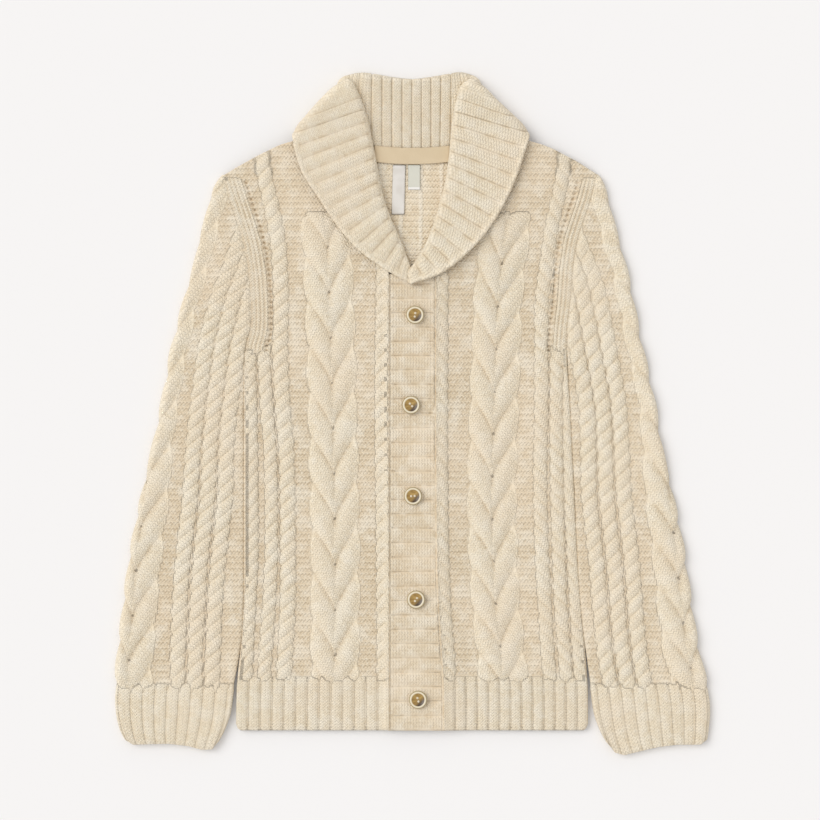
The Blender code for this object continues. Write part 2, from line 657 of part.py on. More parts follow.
def make_band(name, right_x, left_x, level, ribbed, material):
    """A straight band worked sideways, so that its ribs run across."""
    rows = heights(BAND_TOP_Y, HEM_Y, BAND_RIB)
    right_edge = [(right_x(y), y) for y in rows]
    left_edge = [(left_x(y), y) for y in rows[::-1]]
    outline = joined(right_edge, left_edge)
    relief = Relief(outline, EDGE_ROUND + 0.6)
    if ribbed:
        for n in range(len(rows) - 1):
            for share, height in ((0.0, RIB_GROOVE), (0.28, RIB_HEIGHT), (0.72, RIB_HEIGHT)):
                y = rows[n] + (rows[n + 1] - rows[n]) * share
                inner, outer = right_x(y) + EDGE_ROUND + 1.0, left_x(y) - EDGE_ROUND - 1.0
                relief.line([(inner, y, height), (inner + 2.2, y, height * 0.9), (outer, y, height)])
    return slab(name, outline, level, WALL, relief, material)


def sleeve_paths(side):
    rows = RIGHT_SLEEVE_ROWS if side < 0 else LEFT_SLEEVE_ROWS
    cuff = RIGHT_CUFF if side < 0 else LEFT_CUFF
    arm = [
        (read(ARMHOLE_ROWS, 1 if side < 0 else 2, y) + side * SEAM_GAP * 1.5, y)
        for y in heights(247.0, UNDERARM_Y, 11.0)
    ]

    def outer(y):
        swell = SCALLOP * (abs(math.sin(math.pi * (y - 247.0) / SLEEVE_CABLE_PITCH)) - 0.5)
        fade = clamp((y - CUFF_RIB_TOP_Y) / 20.0) * clamp((235.0 - y) / 30.0)
        return read(rows, 1, y) + side * swell * fade

    def inner(y):
        return read(rows, 2, y)

    return rows, cuff, arm, outer, inner


def make_sleeve(name, side, material):
    """A flattened tube, open at the armhole and at the cuff, with relief on its upper layer."""
    rows, cuff, arm, outer, inner = sleeve_paths(side)
    down = heights(241.0, -342.0, 10.6)
    outer_fold = [(outer(y), y) for y in down]
    inner_fold = [(inner(y), y) for y in heights(UNDERARM_Y - 8.0, -342.0, 14.0)]
    shoulder = [(read(rows, 1, 247.0), 247.0)]
    # In order: armhole from shoulder to underarm, inner fold, cuff, outer fold back up
    arm_chain = shoulder + arm[1:]
    cuff_chain = spaced([(inner(-342.0), -342.0)] + list(cuff[::-1]) + [(outer(-342.0), -342.0)], 12.0)
    arm_count, inner_count, cuff_count = len(arm_chain), len(inner_fold[:-1]), len(cuff_chain)
    outline = arm_chain + inner_fold[:-1] + cuff_chain + outer_fold[:-1][::-1]
    total = len(outline)
    arm_ids = list(range(arm_count))
    cuff_ids = list(range(arm_count + inner_count, arm_count + inner_count + cuff_count))
    open_ids = set(arm_ids[1:-1]) | set(cuff_ids[1:-1])
    hollow = SLEEVE_HOLLOW
    top_z = 2 * WALL + hollow
    middle = top_z / 2
    turned = area(outline) < 0

    def rim(points, low, high):
        """Two rims that share their points along the folds and part along the open ends."""
        shared = {}
        lower, upper = [], []
        for n, (x, y) in enumerate(points):
            if n in open_ids:
                lower.append(shell.add(x, y, low))
                upper.append(shell.add(x, y, high))
            else:
                shared[n] = shell.add(x, y, middle)
                lower.append(shared[n])
                upper.append(shared[n])
        return lower, upper

    shell = Shell()
    outward = outline[::-1] if turned else outline
    pulled = inset(outward, WALL)
    pulled = pulled[::-1] if turned else pulled
    hollow_outline = []
    for n, point in enumerate(outline):
        if n in open_ids:
            hollow_outline.append(point)
        elif n in (arm_ids[0], arm_ids[-1], cuff_ids[0], cuff_ids[-1]):
            chain = arm_ids if n in arm_ids else cuff_ids
            follow = outline[chain[1]] if n == chain[0] else outline[chain[-2]]
            part = min(0.45, WALL / math.dist(point, follow))
            hollow_outline.append((point[0] + (follow[0] - point[0]) * part, point[1] + (follow[1] - point[1]) * part))
        else:
            hollow_outline.append(pulled[n])
    out_low, out_high = rim(outline, 0.0, top_z)
    in_low, in_high = rim(hollow_outline, WALL, WALL + hollow)

    wales = SLEEVE_WALES
    relief = Relief(outward, EDGE_ROUND + 1.0)

    def from_fold(column, extra=0.0):
        return lambda y: read(rows, 1, y) - side * (read(wales, column, y) + extra * read(wales, 3, y))

    def clear(x, y):
        return distance_to(arm_chain, (x, y)) > 6.0 and (y < UNDERARM_Y or abs(x - inner(y)) > 2.0)

    relief.keep = clear
    for n in range(3):
        rope(relief, from_fold(2, n + 0.5), lambda y: read(wales, 3, y), SLEEVE_ROPE_PITCH, 240.0,
             CUFF_RIB_TOP_Y + 4.0, 1, ROPE_HEIGHT)
    for n in range(int((232.0 - CUFF_RIB_TOP_Y) / SLEEVE_CABLE_PITCH)):
        y = 232.0 - (n + 0.5) * SLEEVE_CABLE_PITCH
        rise = SLEEVE_CABLE_RISE * SLEEVE_CABLE_PITCH
        for share, height in ((0.30, 1.0), (0.62, 1.0)):
            relief.line([
                (read(rows, 1, at) - side * share * read(wales, 1, at), at, CABLE_HEIGHT * part * height)
                for at, part in ((y - rise * (1 if share > 0.5 else 0.4), 0.9), (y + rise * (share > 0.5), 1.0))
            ])
        low = y - SLEEVE_CABLE_PITCH / 2
        relief.line([(read(rows, 1, low) - side * share * read(wales, 1, low), low + rise * up, 0.9)
                     for share, up in ((0.3, 0.3), (0.62, 0.0), (0.9, -0.4))])
        relief.dot(read(rows, 1, y) - side * read(wales, 1, y) * 1.05, y, 0.2)
        relief.dot(read(rows, 1, low) - side * read(wales, 1, low) * 1.05, low, 0.1)
    places = [n / CUFF_RIBS for n in range(CUFF_RIBS + 1)]
    tops = [(outer(-291.0) + (inner(-291.0) - outer(-291.0)) * share, -291.0) for share in places]
    ends = list(cuff)
    lengths = [0.0]
    for a, b in zip(ends, ends[1:]):
        lengths.append(lengths[-1] + math.dist(a, b))
    bottoms = []
    for share in places:
        at = share * lengths[-1]
        n = next(k for k in range(len(ends) - 1) if lengths[k + 1] >= at - 1e-6)
        part = (at - lengths[n]) / (lengths[n + 1] - lengths[n])
        bottoms.append((ends[n][0] + (ends[n + 1][0] - ends[n][0]) * part,
                        ends[n][1] + (ends[n + 1][1] - ends[n][1]) * part + EDGE_ROUND + 2.2))
    ribs(relief, tops, bottoms, RIB_HEIGHT, RIB_GROOVE)

    ring = ring_points(outward, EDGE_ROUND, 0.0)

    def near_end(x, y):
        return min(distance_to(arm_chain, (x, y)), distance_to(cuff_chain, (x, y))) < EDGE_ROUND * 1.2

    high_ring = [(x, y, top_z - (0.0 if near_end(x, y) else 0.9)) for x, y, _ in ring]
    low_ring = [(x, y, 0.0 if near_end(x, y) else 0.5) for x, y, _ in ring]
    top = high_ring + [(x, y, top_z + height) for x, y, height in relief.points]
    edges = [(a + len(high_ring), b + len(high_ring)) for a, b in relief.edges]
    flat = [(x, y, 0.0) for x, y, _ in ring_points(outward, 3.0 * EDGE_ROUND, 0.0)[::2]]

    def zero(x, y):
        return 0.0

    shell.patch(out_high, top, edges, zero)
    shell.patch(out_low, low_ring + flat, [], zero)
    hollow_ring = [point for point in hollow_outline]
    hollow_out = hollow_ring[::-1] if turned else hollow_ring
    inner_ring = [(x, y) for x, y, _ in ring_points(hollow_out, 3.0, 0.0)[::2]]
    shell.patch(in_high, [(x, y, WALL + hollow) for x, y in inner_ring], [], zero)
    shell.patch(in_low, [(x, y, WALL) for x, y in inner_ring], [], zero)
    for chain in (arm_ids, cuff_ids):
        shell.strip([out_high[n] for n in chain], [in_high[n] for n in chain])
        shell.strip([out_low[n] for n in chain], [in_low[n] for n in chain])
    return shell.finish(name, material, 40)


# The collar


def unit(dx, dy):
    size = math.hypot(dx, dy)
    return dx / size, dy / size


def lapel_profile(row):
    """Ten places down the strip where the fall lies on a front: seam, inner layer, roll, fall, free edge."""
    _, sx, sy, rx, ry, ex, ey, seam_z, inner_z, outer_z = row
    return folded(sx, sy, rx, ry, ex, ey, None, seam_z, inner_z, outer_z)


def folded(sx, sy, rx, ry, ex, ey, free, seam_z, inner_z, outer_z):
    """Ten places down the strip; with a free edge (x, y, z), the fall also turns down past the shoulder."""
    half = COLLAR_WALL / 2
    radius = (outer_z - inner_z) / 2
    ux, uy = unit(ex - rx, ey - ry)
    vx, vy = unit(sx - rx, sy - ry)
    long = math.dist((rx, ry), (ex, ey))
    back = min(half + radius, 0.45 * math.dist((rx, ry), (sx, sy)))
    start = min(half + radius, 0.3 * long)
    inner_roll = (rx + vx * back, ry + vy * back, inner_z)
    middle = ((sx + inner_roll[0]) / 2, (sy + inner_roll[1]) / 2, (seam_z + inner_z) / 2 + 0.3)
    mx, my = unit(ux + vx, uy + vy)
    apex = (rx + mx * half, ry + my * half, (inner_z + outer_z) / 2)
    out = [(sx, sy, seam_z), middle, inner_roll, apex, (rx + ux * start, ry + uy * start, outer_z)]
    if free is None:
        turn = long - 0.32 * long if long < 30.0 else long - 9.0
        spots = ((start + turn) / 2, turn, (turn + long) / 2, long - 2.4, long - 0.6)
        out += [(rx + ux * s, ry + uy * s, outer_z + d) for s, d in zip(spots, (0.2, 0.1, 0.0, -0.2, -0.5))]
        return out
    wrap = (outer_z - UNDER_Z) / 2
    side = long - half
    flat = max(start + 1.5, side - min(wrap, outer_z - free[2]))
    middle_z = (outer_z + free[2]) / 2
    out.append((rx + ux * (start + flat) / 2, ry + uy * (start + flat) / 2, outer_z + 0.1))
    out.append((rx + ux * flat, ry + uy * flat, outer_z - 0.6))
    out.append((rx + ux * side, ry + uy * side, middle_z))
    if free[2] > HANGING_Z:
        out.append((rx + ux * side, ry + uy * side, (middle_z + free[2]) / 2))
    else:
        fx, fy = unit(free[0] - ex, free[1] - ey)
        out.append((rx + ux * flat + fx * 2.0, ry + uy * flat + fy * 2.0, free[2]))
    out.append(free)
    return out


def neck_profile(row):
    """The same ten places across the back neck, where the fall lies under the stand."""
    _, sx, sy, rx, ry, fx, fy = row
    half = COLLAR_WALL / 2
    radius = (NECK_INNER_Z - UNDER_Z) / 2
    ux, uy = unit(sx - rx, sy - ry)
    vx, vy = unit(fx - rx, fy - ry)
    long = math.dist((rx, ry), (fx, fy))
    near = half + radius
    out = [(sx, sy, NECK_INNER_Z), ((sx + rx) / 2, (sy + ry) / 2, NECK_INNER_Z),
           (rx + ux * near, ry + uy * near, NECK_INNER_Z), (rx + ux * half, ry + uy * half, (NECK_INNER_Z + UNDER_Z) / 2)]
    for share in (0.0, 0.12, 0.25, 0.42, 0.68, 1.0):
        out.append((rx + vx * (near + (long - near) * share), ry + vy * (near + (long - near) * share), UNDER_Z))
    return out


def collar_stations():
    """The strip's middle surface: a list of ten-point profiles, two to a rib."""
    profiles = [(row[0], lapel_profile(row)) for row in COLLAR_ROWS]
    for row in SHOULDER_FOLD_ROWS:
        profiles.append((row[0], folded(*row[1:7], row[7:10], *row[10:13])))
    profiles += [(row[0], neck_profile(row)) for row in BACK_NECK_ROWS]
    profiles += list(PEAK_ROWS)
    profiles.sort(key=lambda entry: -entry[0])
    stations = []
    for n in range(2 * COLLAR_RIBS + 1):
        rib = n / 2
        station = []
        for column in range(10):
            point = []
            for axis in range(3):
                table = [(entry[0], entry[1][column][axis]) for entry in profiles]
                point.append(read(table, 1, rib))
            station.append(Vector(point))
        stations.append(station)
    return stations


def make_collar(material):
    stations = collar_stations()
    rows, columns = len(stations), len(stations[0])
    half = COLLAR_WALL / 2
    shell = Shell()
    face, lining = [], []
    kept = [k for k in range(rows) if k % LINING_STEP == 0 or any(a <= k / 2 <= b for a, b in PEAK_RIBS)]
    for k in range(rows):
        face.append([])
        lining.append([])
        for c in range(columns):
            before, after = stations[max(0, k - 1)][c], stations[min(rows - 1, k + 1)][c]
            left, right = stations[k][max(0, c - 1)], stations[k][min(columns - 1, c + 1)]
            normal = (after - before).cross(right - left).normalized()
            here = stations[k][c]
            relief = COLLAR_RIB_HEIGHT if k % 2 else -COLLAR_RIB_HEIGHT
            if c in (0, columns - 1):
                relief = 0.0
            x, y, z = here + normal * (half + relief)
            face[k].append(shell.add(x, y, max(0.0, z)))
            if k in kept:
                lining[k].append(shell.add(*(here - normal * half)))
    for k in range(rows - 1):
        shell.strip(face[k], face[k + 1])
    for k, after in zip(kept, kept[1:]):
        shell.strip(lining[k], lining[after])
    for c in (0, columns - 1):
        shell.zip_chains([face[k][c] for k in range(rows)], [lining[k][c] for k in kept], kept)
    shell.strip(face[0], lining[0])
    shell.strip(face[-1], lining[-1])
    return shell.finish("collar", material, 50)


# Buttons, tape and labels


def make_button(name, centre, material):
    """A turned button with a raised rim and a dished middle."""
    shape = bmesh.new()
    rings = []
    for radius, height in BUTTON_PROFILE:
        if radius == 0:
            rings.append([shape.verts.new((0, 0, height * MM))])
            continue
        angles = [2 * math.pi * n / BUTTON_SIDES for n in range(BUTTON_SIDES)]
        rings.append([
            shape.verts.new((radius * math.cos(a) * MM, radius * math.sin(a) * MM, height * MM)) for a in angles
        ])
    for lower, upper in zip(rings, rings[1:]):
        for n in range(BUTTON_SIDES):
            m = (n + 1) % BUTTON_SIDES
            corners = [lower[n % len(lower)], lower[m % len(lower)], upper[m % len(upper)], upper[n % len(upper)]]
            shape.faces.new(list(dict.fromkeys(corners)))
    bmesh.ops.recalc_face_normals(shape, faces=shape.faces)
    mesh = bpy.data.meshes.new(name)
    shape.to_mesh(mesh)
    shape.free()
    mesh.shade_smooth()
    mesh.set_sharp_from_angle(angle=math.radians(35))
    mesh.materials.append(material)
    thing = bpy.data.objects.new(name, mesh)
    thing.location = (centre[0] * MM, centre[1] * MM, (BUTTON_BASE_Z + lift(*centre)) * MM)
    bpy.context.scene.collection.objects.link(thing)
    return thing


def flat_strip(name, outline, low, thick, material):
    """A thin woven piece of even thickness."""
    shell = Shell()
    outline = outline if area(outline) > 0 else outline[::-1]
    under = [shell.add(x, y, low) for x, y in outline]
    over = [shell.add(x, y, low + thick) for x, y in outline]
    shell.patch(under, [], [], lambda x, y: low)
    shell.patch(over, [], [], lambda x, y: low + thick)
    shell.strip(under, over, closed=True)
    return shell.finish(name, material)


def label_outline(centre_x, top_y, width, length, tilt):
    angle = math.radians(tilt)
    corners = ((-width / 2, 0.0), (-width / 2, -length), (width / 2, -length), (width / 2, 0.0))
    return [
        (centre_x + x * math.cos(angle) - y * math.sin(angle), top_y + x * math.sin(angle) + y * math.cos(angle))
        for x, y in corners
    ]


def make_material(name):
    red, green, blue, roughness = COLOURS[name]
    material = bpy.data.materials.new(name)
    material.use_nodes = True
    shader = material.node_tree.nodes["Principled BSDF"]
    shader.inputs["Base Color"].default_value = (red, green, blue, 1.0)
    shader.inputs["Roughness"].default_value = roughness
    shader.inputs["Metallic"].default_value = 0.0
    material.diffuse_color = (red, green, blue, 1.0)
    return material


def centre_on_origin():
    """Moves the whole garment so that its box stands centred on the origin."""
    corners = [thing.matrix_world @ vert.co for thing in bpy.data.objects for vert in thing.data.vertices]
    shift = Vector((
        -(min(c.x for c in corners) + max(c.x for c in corners)) / 2,
        -(min(c.y for c in corners) + max(c.y for c in corners)) / 2,
        -min(c.z for c in corners),
    ))
    for thing in bpy.data.objects:
        thing.location += shift


def main():
    for thing in list(bpy.data.objects):
        bpy.data.objects.remove(thing, do_unlink=True)
    materials = {name: make_material(name) for name in COLOURS}
    wool = materials["wool"]
    make_back(wool)
    make_front("right_front", -1, wool)
    make_front("left_front", 1, wool)
    make_band("under_band", lambda y: -24.0 + SEAM_GAP, lambda y: 22.0, right_front_level, False, wool)
    make_band("top_band", lambda y: -24.5, lambda y: read(FRONT_ROWS, 3, y) - SEAM_GAP, top_band_level, True, wool)
    make_sleeve("right_sleeve", -1, wool)
    make_sleeve("left_sleeve", 1, wool)
    make_collar(wool)
    for n, centre in enumerate(BUTTON_CENTRES):
        make_button(f"button_{n + 1}", centre, materials["horn"])
    tape = list(TAPE_EDGE) + [(x, y - TAPE_WIDTH) for x, y in reversed(TAPE_EDGE)]
    flat_strip("neck_tape", tape, TAPE_Z, TAPE_THICK, materials["tape"])
    flat_strip("main_label", label_outline(*MAIN_LABEL), LABEL_Z, LABEL_THICK, materials["label"])
    flat_strip("size_label", label_outline(*SIZE_LABEL), LABEL_Z, LABEL_THICK, materials["size_label"])
    bpy.context.view_layer.update()
    centre_on_origin()


main()
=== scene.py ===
"""The cardigan's looks: each knitted piece with its cables, ropes, ribs and stitches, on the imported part.

Lengths are in millimetres in the garment's own plan, hem down and neck up, until a mesh is made.
"""

import itertools
import math

import bmesh
import bpy
import numpy as np
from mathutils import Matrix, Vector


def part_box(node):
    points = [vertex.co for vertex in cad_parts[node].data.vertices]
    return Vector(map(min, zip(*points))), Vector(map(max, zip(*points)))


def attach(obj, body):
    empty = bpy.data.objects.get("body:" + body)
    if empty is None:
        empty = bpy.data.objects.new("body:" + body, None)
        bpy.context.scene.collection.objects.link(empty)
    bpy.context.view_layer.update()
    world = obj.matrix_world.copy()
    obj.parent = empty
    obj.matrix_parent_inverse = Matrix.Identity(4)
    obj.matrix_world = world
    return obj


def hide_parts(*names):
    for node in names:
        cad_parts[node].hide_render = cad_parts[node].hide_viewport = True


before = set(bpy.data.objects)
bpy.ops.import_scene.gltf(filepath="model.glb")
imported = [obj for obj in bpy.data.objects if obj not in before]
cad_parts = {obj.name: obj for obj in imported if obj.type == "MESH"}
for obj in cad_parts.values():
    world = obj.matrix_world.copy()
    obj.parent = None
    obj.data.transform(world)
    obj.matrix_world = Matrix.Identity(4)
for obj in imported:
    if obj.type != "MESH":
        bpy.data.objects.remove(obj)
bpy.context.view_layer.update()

MM = 0.001
GRAIN = 1.2  # how far apart the points of a knitted surface lie

# The knit
WALL = 3
LAYER_GAP = 0.4
STITCH = 3.7            # one stitch across
COURSE = 3              # one row of stitches
ROPE_HEIGHT = 2.7
CABLE_HEIGHT = 3.9
RIB_HEIGHT = 1.25
CUFF_RIB_HEIGHT = 0.9
RIDGE_HEIGHT = 2
EDGE_ROUND = 2.8

# The body, as in the part
HEM_Y = -333
RIB_TOP_Y = -281
CENTRE_NECK_Y = 135
BAND_TOP_Y = 147
NECKLINE_START_Y = 150
NECK_POINT = (78, 309)
UNDERARM_Y = 72
BODY_RIBS = 13
BAND_RIB = 15.1
BAND_FIRST_GROOVE = 136
GUTTERS = {-1: 22.5, 1: 19.5}  # how far the row of holes runs inside the armhole seam
BODY_LENGTH = 642
BACK_WIDTH = 390
BACK_LENGTH = 600
BACK_COARSER = 1.9      # how much wider apart the back's points lie
BAND_LENGTH = 472
BAND_WIDTH = 48
HOLE_GAP = 5.7
NECK_CENTRE_Y = 298
LIFT = 4.2              # how far the collar's fall behind the neck lifts the back
LIFT_FULL = 131
LIFT_NONE = 200
BAND_LIFT = WALL + LAYER_GAP
BAND_LIFT_OUT = 60
BAND_LIFT_TOP = 180

FRONT_ROWS = (
    # y, right side, right centre, left centre, left side
    (-333, -185, -24, 33.5, 185),
    (-285, -184, -24, 33, 184.5),
    (-238, -179.5, -24, 30, 181),
    (-196, -177, -24, 27.5, 177),
    (-154, -177, -24, 26, 174),
    (-17, -177, -24, 25, 167.5),
    (14, -177, -24, 25, 166),
    (56, -177, -24, 25, 163),
    (72, -175, -24, 25, 163),
    (330, -177, -24, 25, 163),
)
SIDE_COLUMN = {-1: 1, 1: 4}
CENTRE_COLUMN = {-1: 2, 1: 3}
ARMHOLE_ROWS = (
    # y, right x, left x
    (72, -175, 163),
    (90, -170.5, 164.5),
    (119, -170.5, 168),
    (151, -173, 170.5),
    (179, -178, 174.5),
    (203, -185, 182),
    (224, -192, 189),
    (247, -199, 195),
)
SHOULDERS = {
    -1: ((-197, 251), (-182, 260), (-161, 271.5), (-139, 282), (-122, 287), (-100, 297), (-78, 309)),
    1: ((195, 251), (173, 265), (149, 277.5), (138, 282), (122, 286.5), (100, 296), (78, 309)),
}
BACK_NECK = ((-62, 291), (-41, 279), (0, 276), (41, 279), (62, 291))

# The cables on the fronts
FRONT_WALES = {
    # y, x of the three ropes from the side, of the horseshoe cable and of the rope beside the band
    -1: (
        (-285, -174, -156.5, -135, -81, -30.5),
        (-254, -172.7, -154, -133.4, -80.9, -30.5),
        (-201, -170.1, -150.4, -130.9, -80.9, -30.8),
        (-148, -167.5, -148, -130.4, -80.9, -31),
        (-43, -168, -149, -132, -82.5, -32.3),
        (9, -169, -153, -136, -84, -32.8),
        (67, -170, -156, -138.8, -85, -32.4),
        (119, -171, -158, -138, -87, -31.5),
        (172, -176, -164, -139.9, -88.9, -31),
        (198, -184, -172, -143.9, -91, -31),
        (224, -196, -184, -149.1, -93, -31),
        (250, -210, -205, -155.1, -95, -31),
        (276, -215, -210, -158.6, -97, -31),
    ),
    1: (
        (-285, 177, 163, 145.5, 97, 40.5),
        (-254, 174.5, 160.2, 142.5, 93.5, 38.6),
        (-201, 171.2, 156, 139.3, 88, 34.9),
        (-148, 168.5, 154, 136.3, 85.4, 32.8),
        (-96, 166, 152.5, 134.8, 83.6, 31.8),
        (-43, 164.5, 151.5, 134.5, 84.8, 31.6),
        (9, 164, 151.5, 135.7, 86.1, 31.4),
        (67, 164, 152, 135.9, 88.3, 31.4),
        (119, 165, 153, 136.4, 90.2, 31.8),
        (172, 171, 159, 143, 95.8, 33),
        (198, 182, 168, 147, 99, 34),
        (224, 196, 184, 152.8, 101.5, 35),
        (250, 210, 205, 158, 103.5, 36),
        (276, 215, 210, 161, 105, 37),
    ),
}
ROPE_WIDTHS = {-1: (13, 15, 17.5, 14.5), 1: (13, 15, 15.5, 13)}
ROPE_COLUMNS = (1, 2, 3, 5)
CABLE_COLUMN = 4
CABLE_PITCHES = {-1: 47.6, 1: 44.6}
CABLE_TIPS = {-1: -17, 1: -67.5}
CABLE_WIDTH = 53
ROPE_PITCH = 15.7
ROPE_TOP_Y = 264
CABLE_TOP_Y = 205       # where the lapels cover the cables
BACK_ROPES_X = (-162, -145, -124, -28, 28, 124, 145, 162)
BACK_CABLES_X = (-76, 76)
HORSESHOE_RISE = 44     # how far a strand climbs from the cable's middle to its edge

# Sleeves
SLEEVE_ROWS = (
    # y, right outer fold, right inner fold, left outer fold, left inner fold
    (-342, -301.5, -205, 309.5, 206),
    (-332, -306.5, -199.5, 311, 200.3),
    (-314, -310.5, -193, 312.5, 193.8),
    (-288, -311.5, -189.5, 310.5, 189.8),
    (-261, -310, -184.5, 304, 186),
    (-232, -306.5, -180.5, 298, 182),
    (-194, -302, -178.8, 292, 178.3),
    (-143, -295, -178.5, 284.5, 175),
    (-91, -285, -178.5, 274.5, 172.5),
    (-38, -273, -178.5, 263, 169.8),
    (14, -262, -178.5, 254, 167.3),
    (72, -251.5, -176.5, 241, 164.5),
    (90, -247, -171.1, 237.5, 165.1),
    (119, -240, -171.1, 232, 168.6),
    (151, -231, -173.6, 226, 171.1),
    (182, -224, -179.3, 217.5, 175.8),
    (219, -214, -191, 208, 188),
    (235, -209.5, -196, 203.5, 192.4),
    (251, -199.5, -197.2, 196.6, 194.6),
)
CUFFS = {
    -1: ((-301.5, -342), (-294, -346.5), (-276, -346), (-257, -345.5), (-236, -348), (-221, -352),
         (-211, -351.5), (-205, -343)),
    1: ((309.5, -342), (304, -346.5), (280, -346.5), (260, -349), (240, -353.5), (224, -357.5),
        (214.5, -355), (206, -344)),
}
SLEEVE_WALES = (
    # y, the cable's inner edge, where the ropes start, each rope's width; all in from the outer fold
    (-290, 39, 56, 18),
    (-196, 35, 48, 18.5),
    (-91, 29, 41, 18.5),
    (-38, 21, 33, 17.5),
    (14, 17, 28, 17),
    (119, 16, 25, 17),
    (182, 17, 33, 16),
    (247, 17, 38, 16),
)
SLEEVE_ROPE_WIDTH = 17.4
SLEEVE_ROPE_PITCH = 16.3
SLEEVE_CABLE_PITCH = 47
SLEEVE_CABLE_TIPS = {-1: -260.6, 1: -268}
OVER_FOLD = 2.1         # how much longer the way over the fold is than it looks from above
SLEEVE_TOUCH = 1.9      # how much closer to the body the soft sleeve lies than its solid
CUFF_RIB_TOP_Y = -288
CUFF_RIBS = 10
SLEEVE_HOLLOW = 1.4
SLEEVE_SWELL = 1.2      # how far the fold lies inside the outline that its cable's crests reach

# The collar, as in the part
COLLAR_WALL = 3.4
COLLAR_RIBS = 44
COLLAR_RIB = 14
COLLAR_DEPTH = 128
COLLAR_RIB_HEIGHT = 1
COLLAR_GROOVE = 1.2
UNDER_Z = 2.15
HANGING_Z = 5
NECK_INNER_Z = 5.95
LAPEL_ROWS = (
    # rib, seam x, seam y, roll x, roll y, edge x, edge y, seam z, inner z, outer z
    (0, -22.5, 143, -3, 153.5, -0.5, 134.8, 8.2, 9.2, 14.4),
    (2, -27.5, 159, -13, 182, -33, 153, 9.2, 10.3, 16.2),
    (4, -33, 177, -23.5, 206, -60.5, 174.5, 9.4, 10.9, 16.5),
    (6, -39.5, 197, -32, 230.5, -83, 201.5, 9.4, 10.9, 16.5),
    (8, -46, 218, -37, 255, -99, 226, 9.4, 10.9, 16.5),
    (10, -53.5, 241, -42, 281, -115.5, 251, 9.4, 10.9, 16.5),
    (12, -61, 266, -47, 306, -124.5, 279, 9.4, 10.9, 16.5),
    (32, 61, 266, 42.5, 302.5, 120.5, 278, 9.4, 10.9, 16.5),
    (34, 53.5, 241, 40.5, 274.5, 110.5, 248, 9.4, 10.9, 16.5),
    (36, 46.5, 218, 37, 247.5, 97, 218.5, 9.4, 10.9, 16.5),
    (38, 40, 197, 30.5, 220, 79, 190, 9.6, 10.9, 16.6),
    (40, 34, 177, 22, 194, 56.5, 165.5, 9.9, 11, 17),
    (42, 28.5, 159, 10.5, 168.5, 29.5, 145.5, 10.7, 11.4, 18),
    (44, 22.5, 140.5, -5, 146.5, -2.5, 134.5, 11.2, 11.6, 17.8),
)
SHOULDER_FOLD_ROWS = (
    # rib, seam x, seam y, roll x, roll y, edge x, edge y, free x, free y, free z, seam z, inner z, outer z
    (12.5, -63.3, 272.8, -48.8, 312.3, -124.5, 286.5, -124.5, 286, 13.9, 9.4, 10.9, 16.4),
    (13, -65.5, 279.5, -50.7, 318.6, -123.5, 293.5, -123.3, 292, 7.6, 9.3, 10.9, 16.4),
    (13.5, -67.5, 285.7, -52.8, 324.8, -119.5, 301, -118.5, 294, UNDER_Z, 9.3, 10.8, 16.3),
    (14, -69.3, 292, -55, 331, -113, 308.7, -112, 283, UNDER_Z, 9.2, 10.7, 16.1),
    (15, -72.8, 302.5, -60, 342, -96, 327.5, -97.5, 272, UNDER_Z, 8.8, 10.1, 15.2),
    (29, 72, 302.5, 51, 342, 89.5, 326.5, 96, 272, UNDER_Z, 8.8, 10.1, 15.2),
    (30, 69.3, 292, 47.6, 329.7, 109, 308.5, 109, 283, UNDER_Z, 9.2, 10.7, 16.1),
    (30.5, 67.5, 285.7, 46, 322.9, 116.5, 301, 115.5, 294, UNDER_Z, 9.3, 10.8, 16.3),
    (31, 65.5, 279.5, 44.7, 316, 121.2, 293.7, 121, 292.2, 7.6, 9.3, 10.9, 16.4),
    (31.5, 63.3, 272.8, 43.6, 309.3, 122, 286.5, 122, 286, 13.9, 9.4, 10.9, 16.4),
)
BACK_NECK_ROWS = (
    # rib, seam x, seam y, roll x, roll y, free x, free y
    (17, -63.5, 294.5, -54, 357.5, -60, 266),
    (18, -43.5, 281, -42, 356.5, -42, 264),
    (20, -21, 278, -21, 353, -21, 262),
    (22, 0, 277, 0, 351, 0, 261),
    (24, 20, 278, 20, 353, 20, 262),
    (26, 41, 281, 41, 356.5, 41, 264),
    (27, 63.5, 294.5, 50, 358, 59, 266),
)
